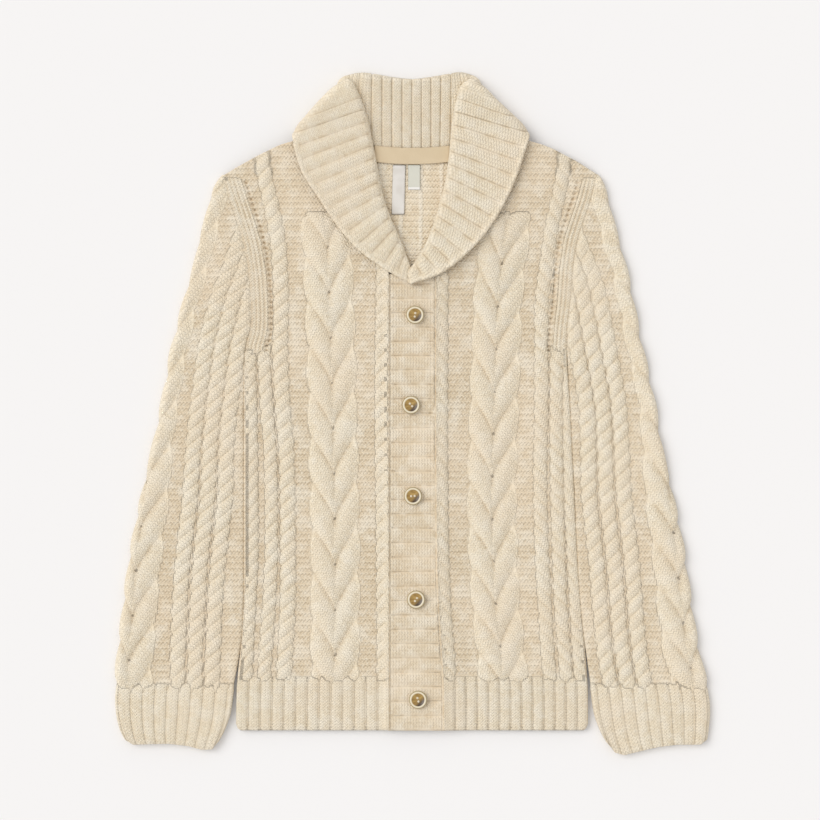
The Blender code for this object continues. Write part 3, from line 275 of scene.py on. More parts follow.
PEAK_ROWS = (
    # rib, then ten places (x, y, z) down the strip from seam to free edge
    (15.5, ((-75.5, 308, 9.4), (-71.5, 327, 9.9), (-67, 342.5, 10.2), (-64.3, 346.5, 12.2),
            (-67, 346.5, 14.3), (-71, 345, 14.4), (-75.5, 343.3, 13.5), (-80.5, 341.2, 8.2),
            (-76.5, 340, UNDER_Z), (-89, 269, UNDER_Z))),
    (16, ((-75.5, 310.5, 7.9), (-72.5, 329, 8), (-70, 343, 8), (-70.5, 351, 8),
          (-74.2, 349, 7), (-75.8, 346, 5.2), (-76, 343, 3.6), (-75.5, 339, 2.5),
          (-74, 330, UNDER_Z), (-75, 268, UNDER_Z))),
    (16.5, ((-72, 304, 6.5), (-69, 326, 6.3), (-64.5, 348.5, 6.1), (-62.5, 354.5, 4.3),
            (-63.5, 350.5, 2.3), (-65, 347, UNDER_Z), (-66.5, 341, UNDER_Z), (-67.5, 334, UNDER_Z),
            (-68, 320, UNDER_Z), (-68, 267, UNDER_Z))),
    (27.5, ((72, 304, 6.5), (67.5, 326, 6.3), (60.5, 348.5, 6.1), (58, 355, 4.3),
            (59.5, 350.5, 2.3), (61.5, 347, UNDER_Z), (63, 341, UNDER_Z), (64.5, 334, UNDER_Z),
            (65.5, 320, UNDER_Z), (67.5, 267, UNDER_Z))),
    (28, ((75.5, 310.5, 7.9), (70.5, 329, 8), (65, 343, 8), (64, 351.5, 8),
          (68, 349.5, 7), (69.8, 346.5, 5.2), (70.4, 343.5, 3.6), (70.8, 339, 2.5),
          (71.5, 330, UNDER_Z), (75, 268, UNDER_Z))),
    (28.5, ((75.5, 308, 9.4), (69.5, 327, 9.9), (62.5, 342.5, 10.2), (58.5, 347, 12.2),
            (61, 347, 14.3), (65, 345.3, 14.4), (69.5, 343.3, 13.5), (74.5, 340.6, 8.2),
            (71.5, 339.5, UNDER_Z), (88, 269, UNDER_Z))),
)

BUTTON_CENTRES = ((3.2, 103.4), (-1, 9), (1, -86.5), (4.2, -195), (6.3, -300))

# Where the garment's plan lies in the frame
button_low, button_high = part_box("button_1")
SHIFT_X = (button_low.x + button_high.x) / 2 / MM - BUTTON_CENTRES[0][0]
SHIFT_Y = (button_low.y + button_high.y) / 2 / MM - BUTTON_CENTRES[0][1]


# Numbers


def smooth(rows, column, at):
    """A column of a table at many places, on a smooth curve through its rows."""
    rows = sorted(rows, key=lambda row: row[0])
    keys = np.array([row[0] for row in rows], float)
    values = np.array([row[column] for row in rows], float)
    slopes = np.empty_like(values)
    slopes[1:-1] = (values[2:] - values[:-2]) / (keys[2:] - keys[:-2])
    slopes[0] = (values[1] - values[0]) / (keys[1] - keys[0])
    slopes[-1] = (values[-1] - values[-2]) / (keys[-1] - keys[-2])
    at = np.clip(at, keys[0], keys[-1])
    i = np.clip(np.searchsorted(keys, at, side="right") - 1, 0, len(keys) - 2)
    span = keys[i + 1] - keys[i]
    t = (at - keys[i]) / span
    return (
        (2 * t**3 - 3 * t**2 + 1) * values[i]
        + (t**3 - 2 * t**2 + t) * slopes[i] * span
        + (3 * t**2 - 2 * t**3) * values[i + 1]
        + (t**3 - t**2) * slopes[i + 1] * span
    )


def ramp(low, high, value):
    """0 below low and 1 above high, with a soft start and end."""
    t = np.clip((value - low) / (high - low), 0, 1)
    return t * t * (3 - 2 * t)


def ripple(x, y, size, seed):
    """A slow unevenness between about -1 and 1, like cloth that doesn't lie quite flat."""
    a, b, c = 1.7 * seed + 0.4, 2.9 * seed + 1.3, 4.1 * seed + 2.2
    return (
        np.sin(x / size + a + 0.6 * np.sin(y / size * 0.9 + b))
        + np.sin(y / size * 0.8 + b + 0.7 * np.sin(x / size * 1.3 + c))
        + np.sin((x + y) / size * 0.55 + c)
    ) / 3


def lift(x, y):
    radius = np.hypot(x, y - NECK_CENTRE_Y)
    return LIFT * np.clip((LIFT_NONE - radius) / (LIFT_NONE - LIFT_FULL), 0, 1)


def band_lift(x, y):
    across = np.clip((BAND_LIFT_OUT - x) / (BAND_LIFT_OUT - FRONT_ROWS[-1][3]), 0, 1)
    up = np.clip((BAND_LIFT_TOP - y) / (BAND_LIFT_TOP - CENTRE_NECK_Y), 0, 1)
    return BAND_LIFT * across * up


# The knit's relief


class Knit:
    """A knitted surface: how high each point stands, where it lies on the stitches, how purl it is and how
    much painted shade darkens it.
    """

    def __init__(self, across, along):
        self.height = np.zeros(np.broadcast(across, along).shape)
        self.u = across / STITCH + self.height
        self.v = along / COURSE + self.height
        self.purl = np.ones_like(self.height)
        self.clear = np.ones_like(self.height)      # 0 where one set of stitches meets another
        self.painted_darkening = np.zeros_like(self.height)      # 1 in the middle of a gap between stitches

    def lay(self, height, u, v, fade):
        """Lays knit stitches where they stand higher than what is there; they end where height is below 0."""
        height = height * fade - 0.2 * (1 - fade)
        over = height > self.height
        self.clear = np.minimum(self.clear, np.clip(np.abs(height - self.height) / 0.6 + 1 - fade, 0, 1))
        self.u = np.where(over, u, self.u)
        self.v = np.where(over, v, self.v)
        self.purl = np.where(over, 0, self.purl)
        self.height = np.maximum(height, self.height)

    def sink(self, depth):
        self.height = self.height - depth

    def fill(self, level, share):
        """Raises what lies below a level towards it."""
        self.height = self.height + np.maximum(level - self.height, 0) * share

    def pit(self, squared_distance, depth, radius):
        """Small gaps between stitches, sunk and darkened with painted shade, from each point's squared
        distance to the nearest one.
        """
        near = np.exp(-squared_distance / (2 * radius**2))
        self.height = self.height - depth * near
        self.painted_darkening = np.maximum(self.painted_darkening, near * min(1, depth))


def signed_root(value, power=0.62):
    return np.sign(value) * np.abs(value) ** power


def rope(knit, across, along, width, pitch, lean, height, fade):
    """Twisted strands side by side in a rounded rope, with a soft crease between each and the next."""
    share = across / (width / 2)
    inside = np.clip(share, -1, 1)
    travel = 0.55 * pitch * (0.5 * inside + np.arcsin(inside) / math.pi)
    phase = (along - lean * travel) / pitch
    place = 2 * (phase - np.floor(phase)) - 1
    strand = 1 - np.abs(place) ** 2
    body = signed_root(1 - np.abs(share / (0.76 + 0.24 * strand)) ** 2.1, 0.9)
    shape = np.where(body > 0, body * (0.16 + 0.84 * strand**0.75), body)
    v = (0.56 * lean * across + 0.83 * along) / COURSE
    knit.lay(shape * height, 3 * phase, v, fade)


def horseshoe(knit, across, along, pitch, height, fade):
    """A chain of V's: broad strands from both sides meet at its middle, each over the next one's start."""
    share = np.abs(across) / (CABLE_WIDTH / 2)
    phase = (along - HORSESHOE_RISE * np.clip(share, 1e-6, 1) ** 0.75) / pitch
    place = phase - np.floor(phase)
    lean = 0.76 + 0.16 * np.tanh(across / 4)      # one half's strands lie more steeply
    strand = 0.14 + 0.86 * np.sin(math.pi * place**lean)
    body = signed_root(1 - (share / (0.84 + 0.16 * strand)) ** 2.6, 0.85)
    crown = 0.6 + 0.4 * np.sin(math.pi * np.clip(share, 0, 1)) ** 0.7
    shape = np.where(body > 0, body * crown * strand, body)
    v = (0.5 * np.abs(across) + 0.87 * along) / COURSE
    knit.lay(shape * height, 6 * phase, v, fade)
    from_crease = np.minimum(place, 1 - place) * pitch * 0.6
    knit.sink(0.4 * fade * np.clip(2 * body, 0, 1) * np.exp(-((from_crease / 5) ** 2)))
    for rise, aside in ((1.5, 0.7), (7, -0.4), (12, 0.2)):
        from_gap = ((along / pitch) - np.floor(along / pitch)) * pitch - rise
        knit.pit(from_gap**2 + (across - aside) ** 2 + 99 * (1 - fade), 0.55, 1.05)


def ribs(knit, number, width, along, height, groove, fade, sharp=4):
    """Knit ribs by rib number, with a narrow purl groove at each whole number."""
    place = 2 * np.abs(number - np.floor(number) - 0.5)
    crown = 1 - place**sharp
    stitch = (number - np.floor(number) - 0.5) * width / STITCH
    knit.lay(crown * height + 0.05, stitch, along / COURSE, fade)
    knit.clear = np.minimum(knit.clear, np.clip((1 - place) / 0.2 + (1 - fade), 0, 1))
    knit.sink(groove * (1 - crown) * fade)


def holes(knit, away, along, gap, depth, radius):
    """A row of small gaps between stitches; away is the distance from the row."""
    place = (along / gap - np.floor(along / gap) - 0.5) * gap
    knit.pit(away**2 + place**2, depth, radius)


def painted_light_level(knit):
    """Painted shade and highlight: how far a point stands out of its surroundings, 0 in deep creases, half on
    flat knit, 1 on crests; painted shade also darkens its gaps.
    """
    height = knit.height
    rows, columns = height.shape
    wide = height
    for reach in (1, 2, 4):
        before = np.maximum(np.arange(rows) - reach, 0)
        after = np.minimum(np.arange(rows) + reach, rows - 1)
        wide = (wide[before] + wide + wide[after]) / 3
        before = np.maximum(np.arange(columns) - reach, 0)
        after = np.minimum(np.arange(columns) + reach, columns - 1)
        wide = (wide[:, before] + wide + wide[:, after]) / 3
    # low for painted shade in creases and gaps, high for a painted highlight on crests
    return np.clip(0.40 + 0.23 * (height - wide) + 0.07 * height, 0, 1) * (1 - knit.painted_darkening)


# Meshes


def add_object(name, data):
    thing = bpy.data.objects.new(name, data)
    bpy.context.scene.collection.objects.link(thing)
    return thing


def make_mesh(name, points, faces, fields):
    """A smooth object with its stitch coordinates, from points in plan millimetres."""
    placed = (points + np.array([SHIFT_X, SHIFT_Y, 0])) * MM
    mesh = bpy.data.meshes.new(name)
    mesh.from_pydata(placed.tolist(), [], faces)
    shape = bmesh.new()
    shape.from_mesh(mesh)
    bmesh.ops.recalc_face_normals(shape, faces=shape.faces)
    shape.to_mesh(mesh)
    shape.free()
    mesh.shade_smooth()
    corners = np.empty(len(mesh.loops), np.int32)
    mesh.loops.foreach_get("vertex_index", corners)
    layer = mesh.uv_layers.new(name="stitches")
    stitches = np.stack([fields["u"], fields["v"]], 1)
    layer.data.foreach_set("uv", stitches[corners].ravel().astype(np.float32))
    for label in ("purl", "clear", "painted_light_level"):
        attribute = mesh.attributes.new(label, "FLOAT", "POINT")
        attribute.data.foreach_set("value", fields[label].astype(np.float32))
    return add_object(name, mesh)


def quads(ids):
    """Faces between neighbours on a grid of point numbers."""
    return np.stack([ids[:-1, :-1], ids[:-1, 1:], ids[1:, 1:], ids[1:, :-1]], -1).reshape(-1, 4).tolist()


def two_faced(name, outside, inside, knit, step=6):
    """A closed piece: a fine grid of points outside, and a plain face behind that keeps every few of them."""
    rows, columns = outside.shape[:2]
    fine = np.arange(rows * columns).reshape(rows, columns)
    kept_rows = list(range(0, rows - 1, step)) + [rows - 1]
    kept_columns = list(range(0, columns - 1, step)) + [columns - 1]
    behind = {}
    extra = []
    for i, j in itertools.product(kept_rows, kept_columns):
        if i in (0, rows - 1) or j in (0, columns - 1):
            behind[i, j] = int(fine[i, j])
        else:
            behind[i, j] = rows * columns + len(extra)
            extra.append(inside[i, j])
    faces = quads(fine)
    fine_faces = len(faces)
    for (i, k), (j, m) in itertools.product(itertools.pairwise(kept_rows), itertools.pairwise(kept_columns)):
        left = fine[i:k, 0].tolist() if j == 0 else [behind[i, j]]
        top = fine[rows - 1, j:m].tolist() if k == rows - 1 else [behind[k, j]]
        right = fine[k:i:-1, columns - 1].tolist() if m == columns - 1 else [behind[k, m]]
        bottom = fine[0, m:j:-1].tolist() if i == 0 else [behind[i, m]]
        faces.append(left + top + right + bottom)
    extra = np.array(extra)
    points = np.concatenate([outside.reshape(-1, 3), extra])
    plain = {"u": extra[:, 0] / STITCH, "v": extra[:, 1] / COURSE, "painted_light_level": np.full(len(extra), 0.42)}
    fields = {
        label: np.concatenate([values.ravel(), plain.get(label, np.ones(len(extra)))])
        for label, values in knit_fields(knit).items()
    }
    piece = make_mesh(name, points, faces, fields)
    kinds = (np.arange(len(faces)) >= fine_faces).astype(np.int32)
    piece.data.polygons.foreach_set("material_index", kinds)
    return piece


def knit_fields(knit):
    return {"u": knit.u, "v": knit.v, "purl": knit.purl, "clear": knit.clear, "painted_light_level": painted_light_level(knit)}


def slab(name, x, y, base, thick, relief, curve, knit, step=6):
    """A closed piece that stands on a base, with its relief on top and its edges rounded by a curve."""
    top = base + thick / 2 + (thick / 2 + relief) * curve
    under = base + thick / 2 - thick / 2 * curve
    return two_faced(name, np.stack([x, y, top], -1), np.stack([x, y, under], -1), knit, step)


def edge_curve(distance, reach=EDGE_ROUND):
    """Half of a rounded edge's thickness: 0 at the edge, 1 further in."""
    return np.sqrt(1 - (1 - np.clip(distance / reach, 0, 1)) ** 2)


def crisp_ends(count):
    """Shares from 0 to 1 whose first and last steps are short, so that an edge turns down within them."""
    share = np.linspace(0, 1, count)
    for n, steps in enumerate((0.25, 0.55, 1.2, 2.1), 1):
        share[n] = steps / (count - 1)
        share[-1 - n] = 1 - share[n]
    return share


def slope_share(rows, values):
    """How much of a distance along X is a distance from a slanting edge."""
    return 1 / np.sqrt(1 + np.gradient(values, rows) ** 2)


# The fronts and the back


def outer_edge(side, y):
    """x of a body panel's outer edge: flank, armhole and shoulder."""
    flank = np.linspace(HEM_Y + 7, UNDERARM_Y - 10, 60)
    arm = np.linspace(UNDERARM_Y, 247, 40)
    shoulder = SHOULDERS[side]
    ys = np.concatenate([[HEM_Y, HEM_Y + 2], flank, arm, [row[1] for row in shoulder]])
    corner = smooth(FRONT_ROWS, SIDE_COLUMN[side], HEM_Y)
    xs = np.concatenate([
        [corner - side * 5, corner - side * 2],
        smooth(FRONT_ROWS, SIDE_COLUMN[side], flank),
        smooth(ARMHOLE_ROWS, 1 if side < 0 else 2, arm),
        [row[0] for row in shoulder],
    ])
    return np.interp(y, ys, xs)


def centre_edge(side, y):
    """x of a front's edge along the band and the neckline."""
    centre = smooth(FRONT_ROWS, CENTRE_COLUMN[side], y)
    rise = np.clip((y - NECKLINE_START_Y) / (NECK_POINT[1] - NECKLINE_START_Y), 0, 1)
    start = FRONT_ROWS[-1][CENTRE_COLUMN[side]]
    return centre + (side * NECK_POINT[0] - start) * rise


def above(rib_top_y, y):
    """0 on the ribs, 1 above them."""
    return ramp(rib_top_y - 8, rib_top_y + 12, y)


def body_relief(side, x, y, outer, share):
    """The knit of a front: ridge and gutter at the armhole, ropes, the horseshoe cable and hem ribs."""
    line = smooth(FRONT_ROWS, SIDE_COLUMN[side], y)
    middle = smooth(FRONT_ROWS, CENTRE_COLUMN[side], y)
    knit = Knit(x - middle, y)
    beside_sleeve = (y > UNDERARM_Y - 20) & (y < ARMHOLE_ROWS[-1][0] + 3)
    from_arm = np.where(beside_sleeve, np.abs(x - outer) * share, 99)
    arm_on = ramp(UNDERARM_Y - 18, UNDERARM_Y + 4, y) * ramp(250, 240, y)
    gutter_at = GUTTERS[side]
    clear = 1 - arm_on * ramp(gutter_at + 3.5, gutter_at + 0.5, from_arm)
    above_ribs = above(RIB_TOP_Y, y)
    wales = FRONT_WALES[side]
    for number, (column, width) in enumerate(zip(ROPE_COLUMNS, ROPE_WIDTHS[side])):
        across = x - smooth(wales, column, y)
        along = y - ROPE_TOP_Y + 5 * number
        rope(knit, across, along, width, ROPE_PITCH, -side, ROPE_HEIGHT, clear * above_ribs)
    across = x - smooth(wales, CABLE_COLUMN, y)
    shown = above_ribs * ramp(CABLE_TOP_Y + 10, CABLE_TOP_Y - 8, y)
    horseshoe(knit, across, y - CABLE_TIPS[side], CABLE_PITCHES[side], CABLE_HEIGHT, shown)
    on_ribs = ramp(RIB_TOP_Y + 9, RIB_TOP_Y - 6, y)
    ribs(knit, (x - line) / (middle - line) * BODY_RIBS, 12.2, y, RIB_HEIGHT, 0.9, on_ribs)
    gutter = ramp(gutter_at + 5, gutter_at + 1, from_arm)
    gutter = gutter * ramp(gutter_at - 5.5, gutter_at - 3, from_arm)
    knit.fill(1.1, arm_on * gutter)
    ridge = signed_root(1 - np.abs((from_arm - gutter_at / 2 + 1.2) / (gutter_at / 2 - 1.4)) ** 4)
    columns = 0.74 + 0.26 * np.cos(from_arm * 2 * math.pi / 4.4)
    knit.lay(ridge * columns * RIDGE_HEIGHT, from_arm / STITCH, y / COURSE, arm_on)
    # painted shade in the thin lines between the ridge's columns
    knit.painted_darkening = np.maximum(knit.painted_darkening, 1.6 * (1 - columns) * arm_on * (ridge > 0))
    holes(knit, np.where(arm_on > 0.5, from_arm - gutter_at, 9), y, HOLE_GAP, 3, 1.3)
    return knit


def front(name, side):
    """A front on a grid whose rows run from its outer edge to the band and the neckline."""
    y = np.linspace(HEM_Y, NECK_POINT[1] - 0.4, round(BODY_LENGTH / GRAIN))[:, None]
    outer = outer_edge(side, y)
    centre = centre_edge(side, y)
    across = crisp_ends(BODY_RIBS * (11 if GRAIN < 2 else 6) + 1)[None, :]
    x = outer + (centre - outer) * across
    outer_share = slope_share(y[:, 0], outer[:, 0])[:, None]
    centre_share = slope_share(y[:, 0], centre[:, 0])[:, None]
    y = y + np.zeros_like(x)
    knit = body_relief(side, x, y, outer, outer_share)
    from_side = np.abs(x - outer) * outer_share
    from_centre = np.abs(x - centre) * centre_share
    knit.fill(1.5, ramp(4.5, 2.5, from_centre))
    knit.fill(1.5, ramp(5.5, 3, from_side) * ramp(UNDERARM_Y, UNDERARM_Y - 16, y))
    level = lift(x, y) + WALL + LAYER_GAP + (band_lift(x, y) if side > 0 else 0)
    curve = edge_curve(from_side, 1.2) * edge_curve(from_centre, 0.3) * edge_curve(y - HEM_Y, 2.4)
    rise = ramp(0, np.where(y > ARMHOLE_ROWS[-1][0], 9, 2), from_side)
    relief = knit.height * rise + 0.4 * ripple(x, y, 34, side + 2)
    if side < 0:
        relief = relief + 3.4 * ramp(8, 1.8, from_centre)      # the knit swells against the band's edge
    else:
        relief = relief + ramp(4.5, 1, from_centre)      # stitches picked up for the band
    return slab(name, x, y, level, WALL, relief, curve, knit)


def back(name):
    """The back: the same cables, pressed flat against what the garment lies on, and the plain inside."""
    share = np.linspace(0, 1, round(BACK_WIDTH / GRAIN / BACK_COARSER))[None, :]
    rise = np.linspace(0, 1, round(BACK_LENGTH / GRAIN / BACK_COARSER))[:, None]
    top_x = SHOULDERS[-1][0][0] + (SHOULDERS[1][0][0] - SHOULDERS[-1][0][0]) * share
    rim = SHOULDERS[-1] + BACK_NECK + SHOULDERS[1][::-1]
    top_y = np.interp(top_x, [p[0] for p in rim], [p[1] for p in rim])
    y = HEM_Y + (top_y - HEM_Y) * rise
    right = outer_edge(-1, np.minimum(y, 251))
    left = outer_edge(1, np.minimum(y, 251))
    x = right + (left - right) * share
    knit = Knit(x, y)
    above_ribs = above(RIB_TOP_Y, y)
    for place in BACK_ROPES_X:
        rope(knit, x - place, y - ROPE_TOP_Y, 15, ROPE_PITCH, -np.sign(place), ROPE_HEIGHT, above_ribs)
    for place in BACK_CABLES_X:
        horseshoe(knit, x - place, y + 17, CABLE_PITCHES[-1], CABLE_HEIGHT, above_ribs)
    ribs(knit, x / 12.6, 12.6, y, RIB_HEIGHT, 0.7, ramp(RIB_TOP_Y + 2, RIB_TOP_Y - 4, y))
    away = np.minimum(np.minimum(x - right, left - x), np.minimum(y - HEM_Y, (top_y - y) * 0.9))
    curve = edge_curve(away)
    level = lift(x, y)
    under = level + WALL / 2 - WALL / 2 * curve + (CABLE_HEIGHT - knit.height) * 0.28 * curve
    wales = 0.35 * np.cos(x * 2 * math.pi / 17) ** 3 + 0.25 * ripple(x, y, 30, 5)
    top = level + WALL / 2 + (WALL / 2 + wales) * curve
    return two_faced(name, np.stack([x, y, under], -1), np.stack([x, y, top], -1), knit, 2)


def band(name, level, right, left, ribbed):
    """A front band, knitted sideways: its ribs run across, with a chained edge along its free side."""
    y = np.linspace(HEM_Y, BAND_TOP_Y, round(BAND_LENGTH / GRAIN * (1.8 if ribbed else 0.5)))[:, None]
    share = crisp_ends(round(BAND_WIDTH / GRAIN))[None, :]
    x = right(y) + (left(y) - right(y)) * share
    y = y + np.zeros_like(x)
    from_ends = np.minimum(y - HEM_Y, BAND_TOP_Y - y)
    knit = Knit(y, x)
    if ribbed:
        number = (BAND_FIRST_GROOVE - y) / BAND_RIB + 0.04 * ripple(x, y, 20, 4)
        inside_edges = ramp(1, 4.5, x - right(y)) * ramp(1, 4, left(y) - x)
        ribs(knit, number, BAND_RIB, x, 0.8, 1.3, inside_edges, 2.6)
        knit.fill(0.9, ramp(3.4, 1.4, left(y) - x))
        chain = np.exp(-(((x - right(y) - 2.6) / 1.9) ** 2)) * (1 + 0.12 * np.sin(y * 2 * math.pi / 4.2))
        knit.height = knit.height + 0.9 * chain
        holes(knit, left(y) - x - 1.6, y, 7.6, 0.5, 0.9)
        knit.clear = 0.75 * knit.clear
        # painted shade darkens the whole ribbed band
        knit.painted_darkening = np.maximum(knit.painted_darkening, 0.61)
    curve = edge_curve(x - right(y), 0.9) * edge_curve(left(y) - x, 0.3) * edge_curve(from_ends, 2.2)
    relief = knit.height + 0.3 * ripple(x, y, 22, 9)
    return slab(name, x, y, level(x, y), WALL, relief, curve, knit)


# Sleeves


def sleeve(name, side):
    """A flattened tube: upper layer, inner fold, lower layer, outer fold, and its inside."""
    outer_column = 1 if side < 0 else 3
    thick = 2 * WALL + SLEEVE_HOLLOW
    cuff_y, shoulder_y = SLEEVE_ROWS[0][0], SLEEVE_ROWS[-1][0]
    down = np.linspace(shoulder_y, cuff_y, round((shoulder_y - cuff_y) / GRAIN))
    turn = np.linspace(0, math.pi, 7)[1:]
    within = np.concatenate([[3, 9, 20], np.arange(60, 560, 40)])
    y_plan = np.concatenate([down, np.full(len(turn), cuff_y), cuff_y + within])[:, None]
    beyond = np.concatenate([np.zeros(len(down)), WALL / 2 * np.sin(turn), np.zeros(len(within))])[:, None]
    inset = np.concatenate([np.zeros(len(down)), WALL / 2 * (1 - np.cos(turn)), np.full(len(within), WALL)])
    inset = inset[:, None]
    columns = CUFF_RIBS * (10 if GRAIN < 2 else 5)
    lower = np.linspace(1, 2, columns // 2 + 1)[1:-1]
    around = np.concatenate([np.linspace(0, 1, columns + 1), lower])[None, :]
    swell = SLEEVE_SWELL * ramp(CUFF_RIB_TOP_Y - 20, CUFF_RIB_TOP_Y + 10, y_plan)
    outer = smooth(SLEEVE_ROWS, outer_column, y_plan) - side * (swell + inset)
    inner = smooth(SLEEVE_ROWS, outer_column + 1, y_plan) + side * (inset - SLEEVE_TOUCH)
    width = np.maximum(np.abs(outer - inner), 0.5)
    radius = np.minimum(thick / 2 - inset, width / 2)
    flat = width - 2 * radius
    upper = around <= 1
    run = np.where(upper, around, 2 - around) * (flat + math.pi * radius)
    # from the outer fold over the curve, along the flat layer and down to the inner fold
    quarter = math.pi * radius / 2
    out_turn = np.clip(run / radius, 0, math.pi / 2)
    in_turn = np.clip((run - quarter - flat) / radius, 0, math.pi / 2)
    plan = radius * (1 - np.cos(out_turn)) + np.clip(run - quarter, 0, flat) + radius * np.sin(in_turn)
    sewn = ramp(UNDERARM_Y - 10, UNDERARM_Y + 10, y_plan)
    height = radius * (np.sin(out_turn) + np.maximum(np.cos(in_turn), 0) ** (0.5 - 0.25 * sewn) - 1)
    facing_x = np.cos(out_turn) - np.sin(in_turn)
    facing_z = np.sin(out_turn) * np.cos(in_turn)
    layer = np.where(upper, 1, -1)
    bottom = np.interp(plan / width, *cuff_curve(CUFFS[side]))
    on_cuff = np.clip((CUFF_RIB_TOP_Y - y_plan) / (CUFF_RIB_TOP_Y - cuff_y), 0, 1)
    y = y_plan + on_cuff * (bottom - cuff_y) - beyond
    knit = sleeve_relief(side, layer * run, y_plan + 0 * plan, around)
    fade = np.clip(1 - inset / 1.5, 0, 1) * ramp(0, 6, width)
    at_body = ramp(60, 90, y_plan) * ramp(5, 1, width - plan)
    relief = knit.height * (1 - 0.8 * at_body) * fade + 0.4 * ripple(plan, y_plan, 30, side + 7) * fade
    x = outer - side * plan + side * facing_x * relief
    z = thick / 2 + layer * (height + facing_z * relief)
    z = np.maximum(z, inset)
    points = np.stack([x, y, z], -1)
    ids = np.arange(points.shape[0] * points.shape[1]).reshape(points.shape[:2])
    faces = quads(np.concatenate([ids, ids[:, :1]], 1)) + [ids[0].tolist()]
    fields = {label: values.ravel() for label, values in knit_fields(knit).items()}
    return make_mesh(name, points.reshape(-1, 3), faces, fields)


def cuff_curve(cuff):
    """The cuff's lower edge: shares of the width from the outer fold, and heights."""
    first, last = cuff[0][0], cuff[-1][0]
    return [(point[0] - first) / (last - first) for point in cuff], [point[1] for point in cuff]


def sleeve_relief(side, material, y, around):
    """The horseshoe cable at the outer fold, three ropes on each side of it, and the cuff's ribs."""
    cable = smooth(SLEEVE_WALES, 1, y) + OVER_FOLD
    ropes = smooth(SLEEVE_WALES, 2, y) + OVER_FOLD
    width = smooth(SLEEVE_WALES, 3, y)
    middle = cable - CABLE_WIDTH / 2
    from_middle = material - middle
    knit = Knit(from_middle, y)
    above_cuff = above(CUFF_RIB_TOP_Y, y)
    for n in range(3):
        reach = ropes - middle + (n + 0.5) * width
        along = y - ROPE_TOP_Y + 6 * n
        for way in (1, -1):
            across = from_middle - way * reach
            rope(knit, across, along, SLEEVE_ROPE_WIDTH, SLEEVE_ROPE_PITCH, -side, ROPE_HEIGHT, above_cuff)
    horseshoe(knit, from_middle, y - SLEEVE_CABLE_TIPS[side], SLEEVE_CABLE_PITCH, CABLE_HEIGHT, above_cuff)
    on_cuff = ramp(CUFF_RIB_TOP_Y + 8, CUFF_RIB_TOP_Y - 4, y)
    ribs(knit, around * CUFF_RIBS - 0.4, 11.5, y, CUFF_RIB_HEIGHT, 0.4, on_cuff)
    knit.height = knit.height * (1 - 0.4 * ramp(60, 180, y))      # pulled flatter over the shoulder
    return knit


# The collar


def unit(dx, dy):
    size = math.hypot(dx, dy)
    return dx / size, dy / size


def folded(sx, sy, rx, ry, ex, ey, free, seam_z, inner_z, outer_z):
    """Ten places down the strip; with a free edge (x, y, z), the fall also turns down past the shoulder."""
    half = COLLAR_WALL / 2
    radius = (outer_z - inner_z) / 2
    ux, uy = unit(ex - rx, ey - ry)
    vx, vy = unit(sx - rx, sy - ry)
    long = math.dist((rx, ry), (ex, ey))
    back_off = min(half + radius, 0.45 * math.dist((rx, ry), (sx, sy)))
    start = min(half + radius, 0.3 * long)
    inner_roll = (rx + vx * back_off, ry + vy * back_off, inner_z)
    middle = ((sx + inner_roll[0]) / 2, (sy + inner_roll[1]) / 2, (seam_z + inner_z) / 2 + 0.3)
    mx, my = unit(ux + vx, uy + vy)
    apex = (rx + mx * half, ry + my * half, (inner_z + outer_z) / 2)
    out = [(sx, sy, seam_z), middle, inner_roll, apex, (rx + ux * start, ry + uy * start, outer_z)]
    if free is None:
        turn = long - 0.32 * long if long < 30 else long - 9
        spots = ((start + turn) / 2, turn, (turn + long) / 2, long - 2.4, long - 0.6)
        out += [(rx + ux * s, ry + uy * s, outer_z + d) for s, d in zip(spots, (0.2, 0.1, 0, -0.2, -0.5))]
        return out
    wrap = (outer_z - UNDER_Z) / 2
    edge = long - half
    flat = max(start + 1.5, edge - min(wrap, outer_z - free[2]))
    middle_z = (outer_z + free[2]) / 2
    out.append((rx + ux * (start + flat) / 2, ry + uy * (start + flat) / 2, outer_z + 0.1))
    out.append((rx + ux * flat, ry + uy * flat, outer_z - 0.6))
    out.append((rx + ux * edge, ry + uy * edge, middle_z))
    if free[2] > HANGING_Z:
        out.append((rx + ux * edge, ry + uy * edge, (middle_z + free[2]) / 2))
    else:
        fx, fy = unit(free[0] - ex, free[1] - ey)
        out.append((rx + ux * flat + fx * 2, ry + uy * flat + fy * 2, free[2]))
    out.append(free)
    return out


def neck_profile(sx, sy, rx, ry, fx, fy):
    """The same ten places across the back neck, where the fall lies under the stand."""
    half = COLLAR_WALL / 2
    near = half + (NECK_INNER_Z - UNDER_Z) / 2
    ux, uy = unit(sx - rx, sy - ry)
    vx, vy = unit(fx - rx, fy - ry)
    long = math.dist((rx, ry), (fx, fy))
    out = [
        (sx, sy, NECK_INNER_Z),
        ((sx + rx) / 2, (sy + ry) / 2, NECK_INNER_Z),
        (rx + ux * near, ry + uy * near, NECK_INNER_Z),
        (rx + ux * half, ry + uy * half, (NECK_INNER_Z + UNDER_Z) / 2),
    ]
    for share in (0, 0.12, 0.25, 0.42, 0.68, 1):
        reach = near + (long - near) * share
        out.append((rx + vx * reach, ry + vy * reach, UNDER_Z))
    return out


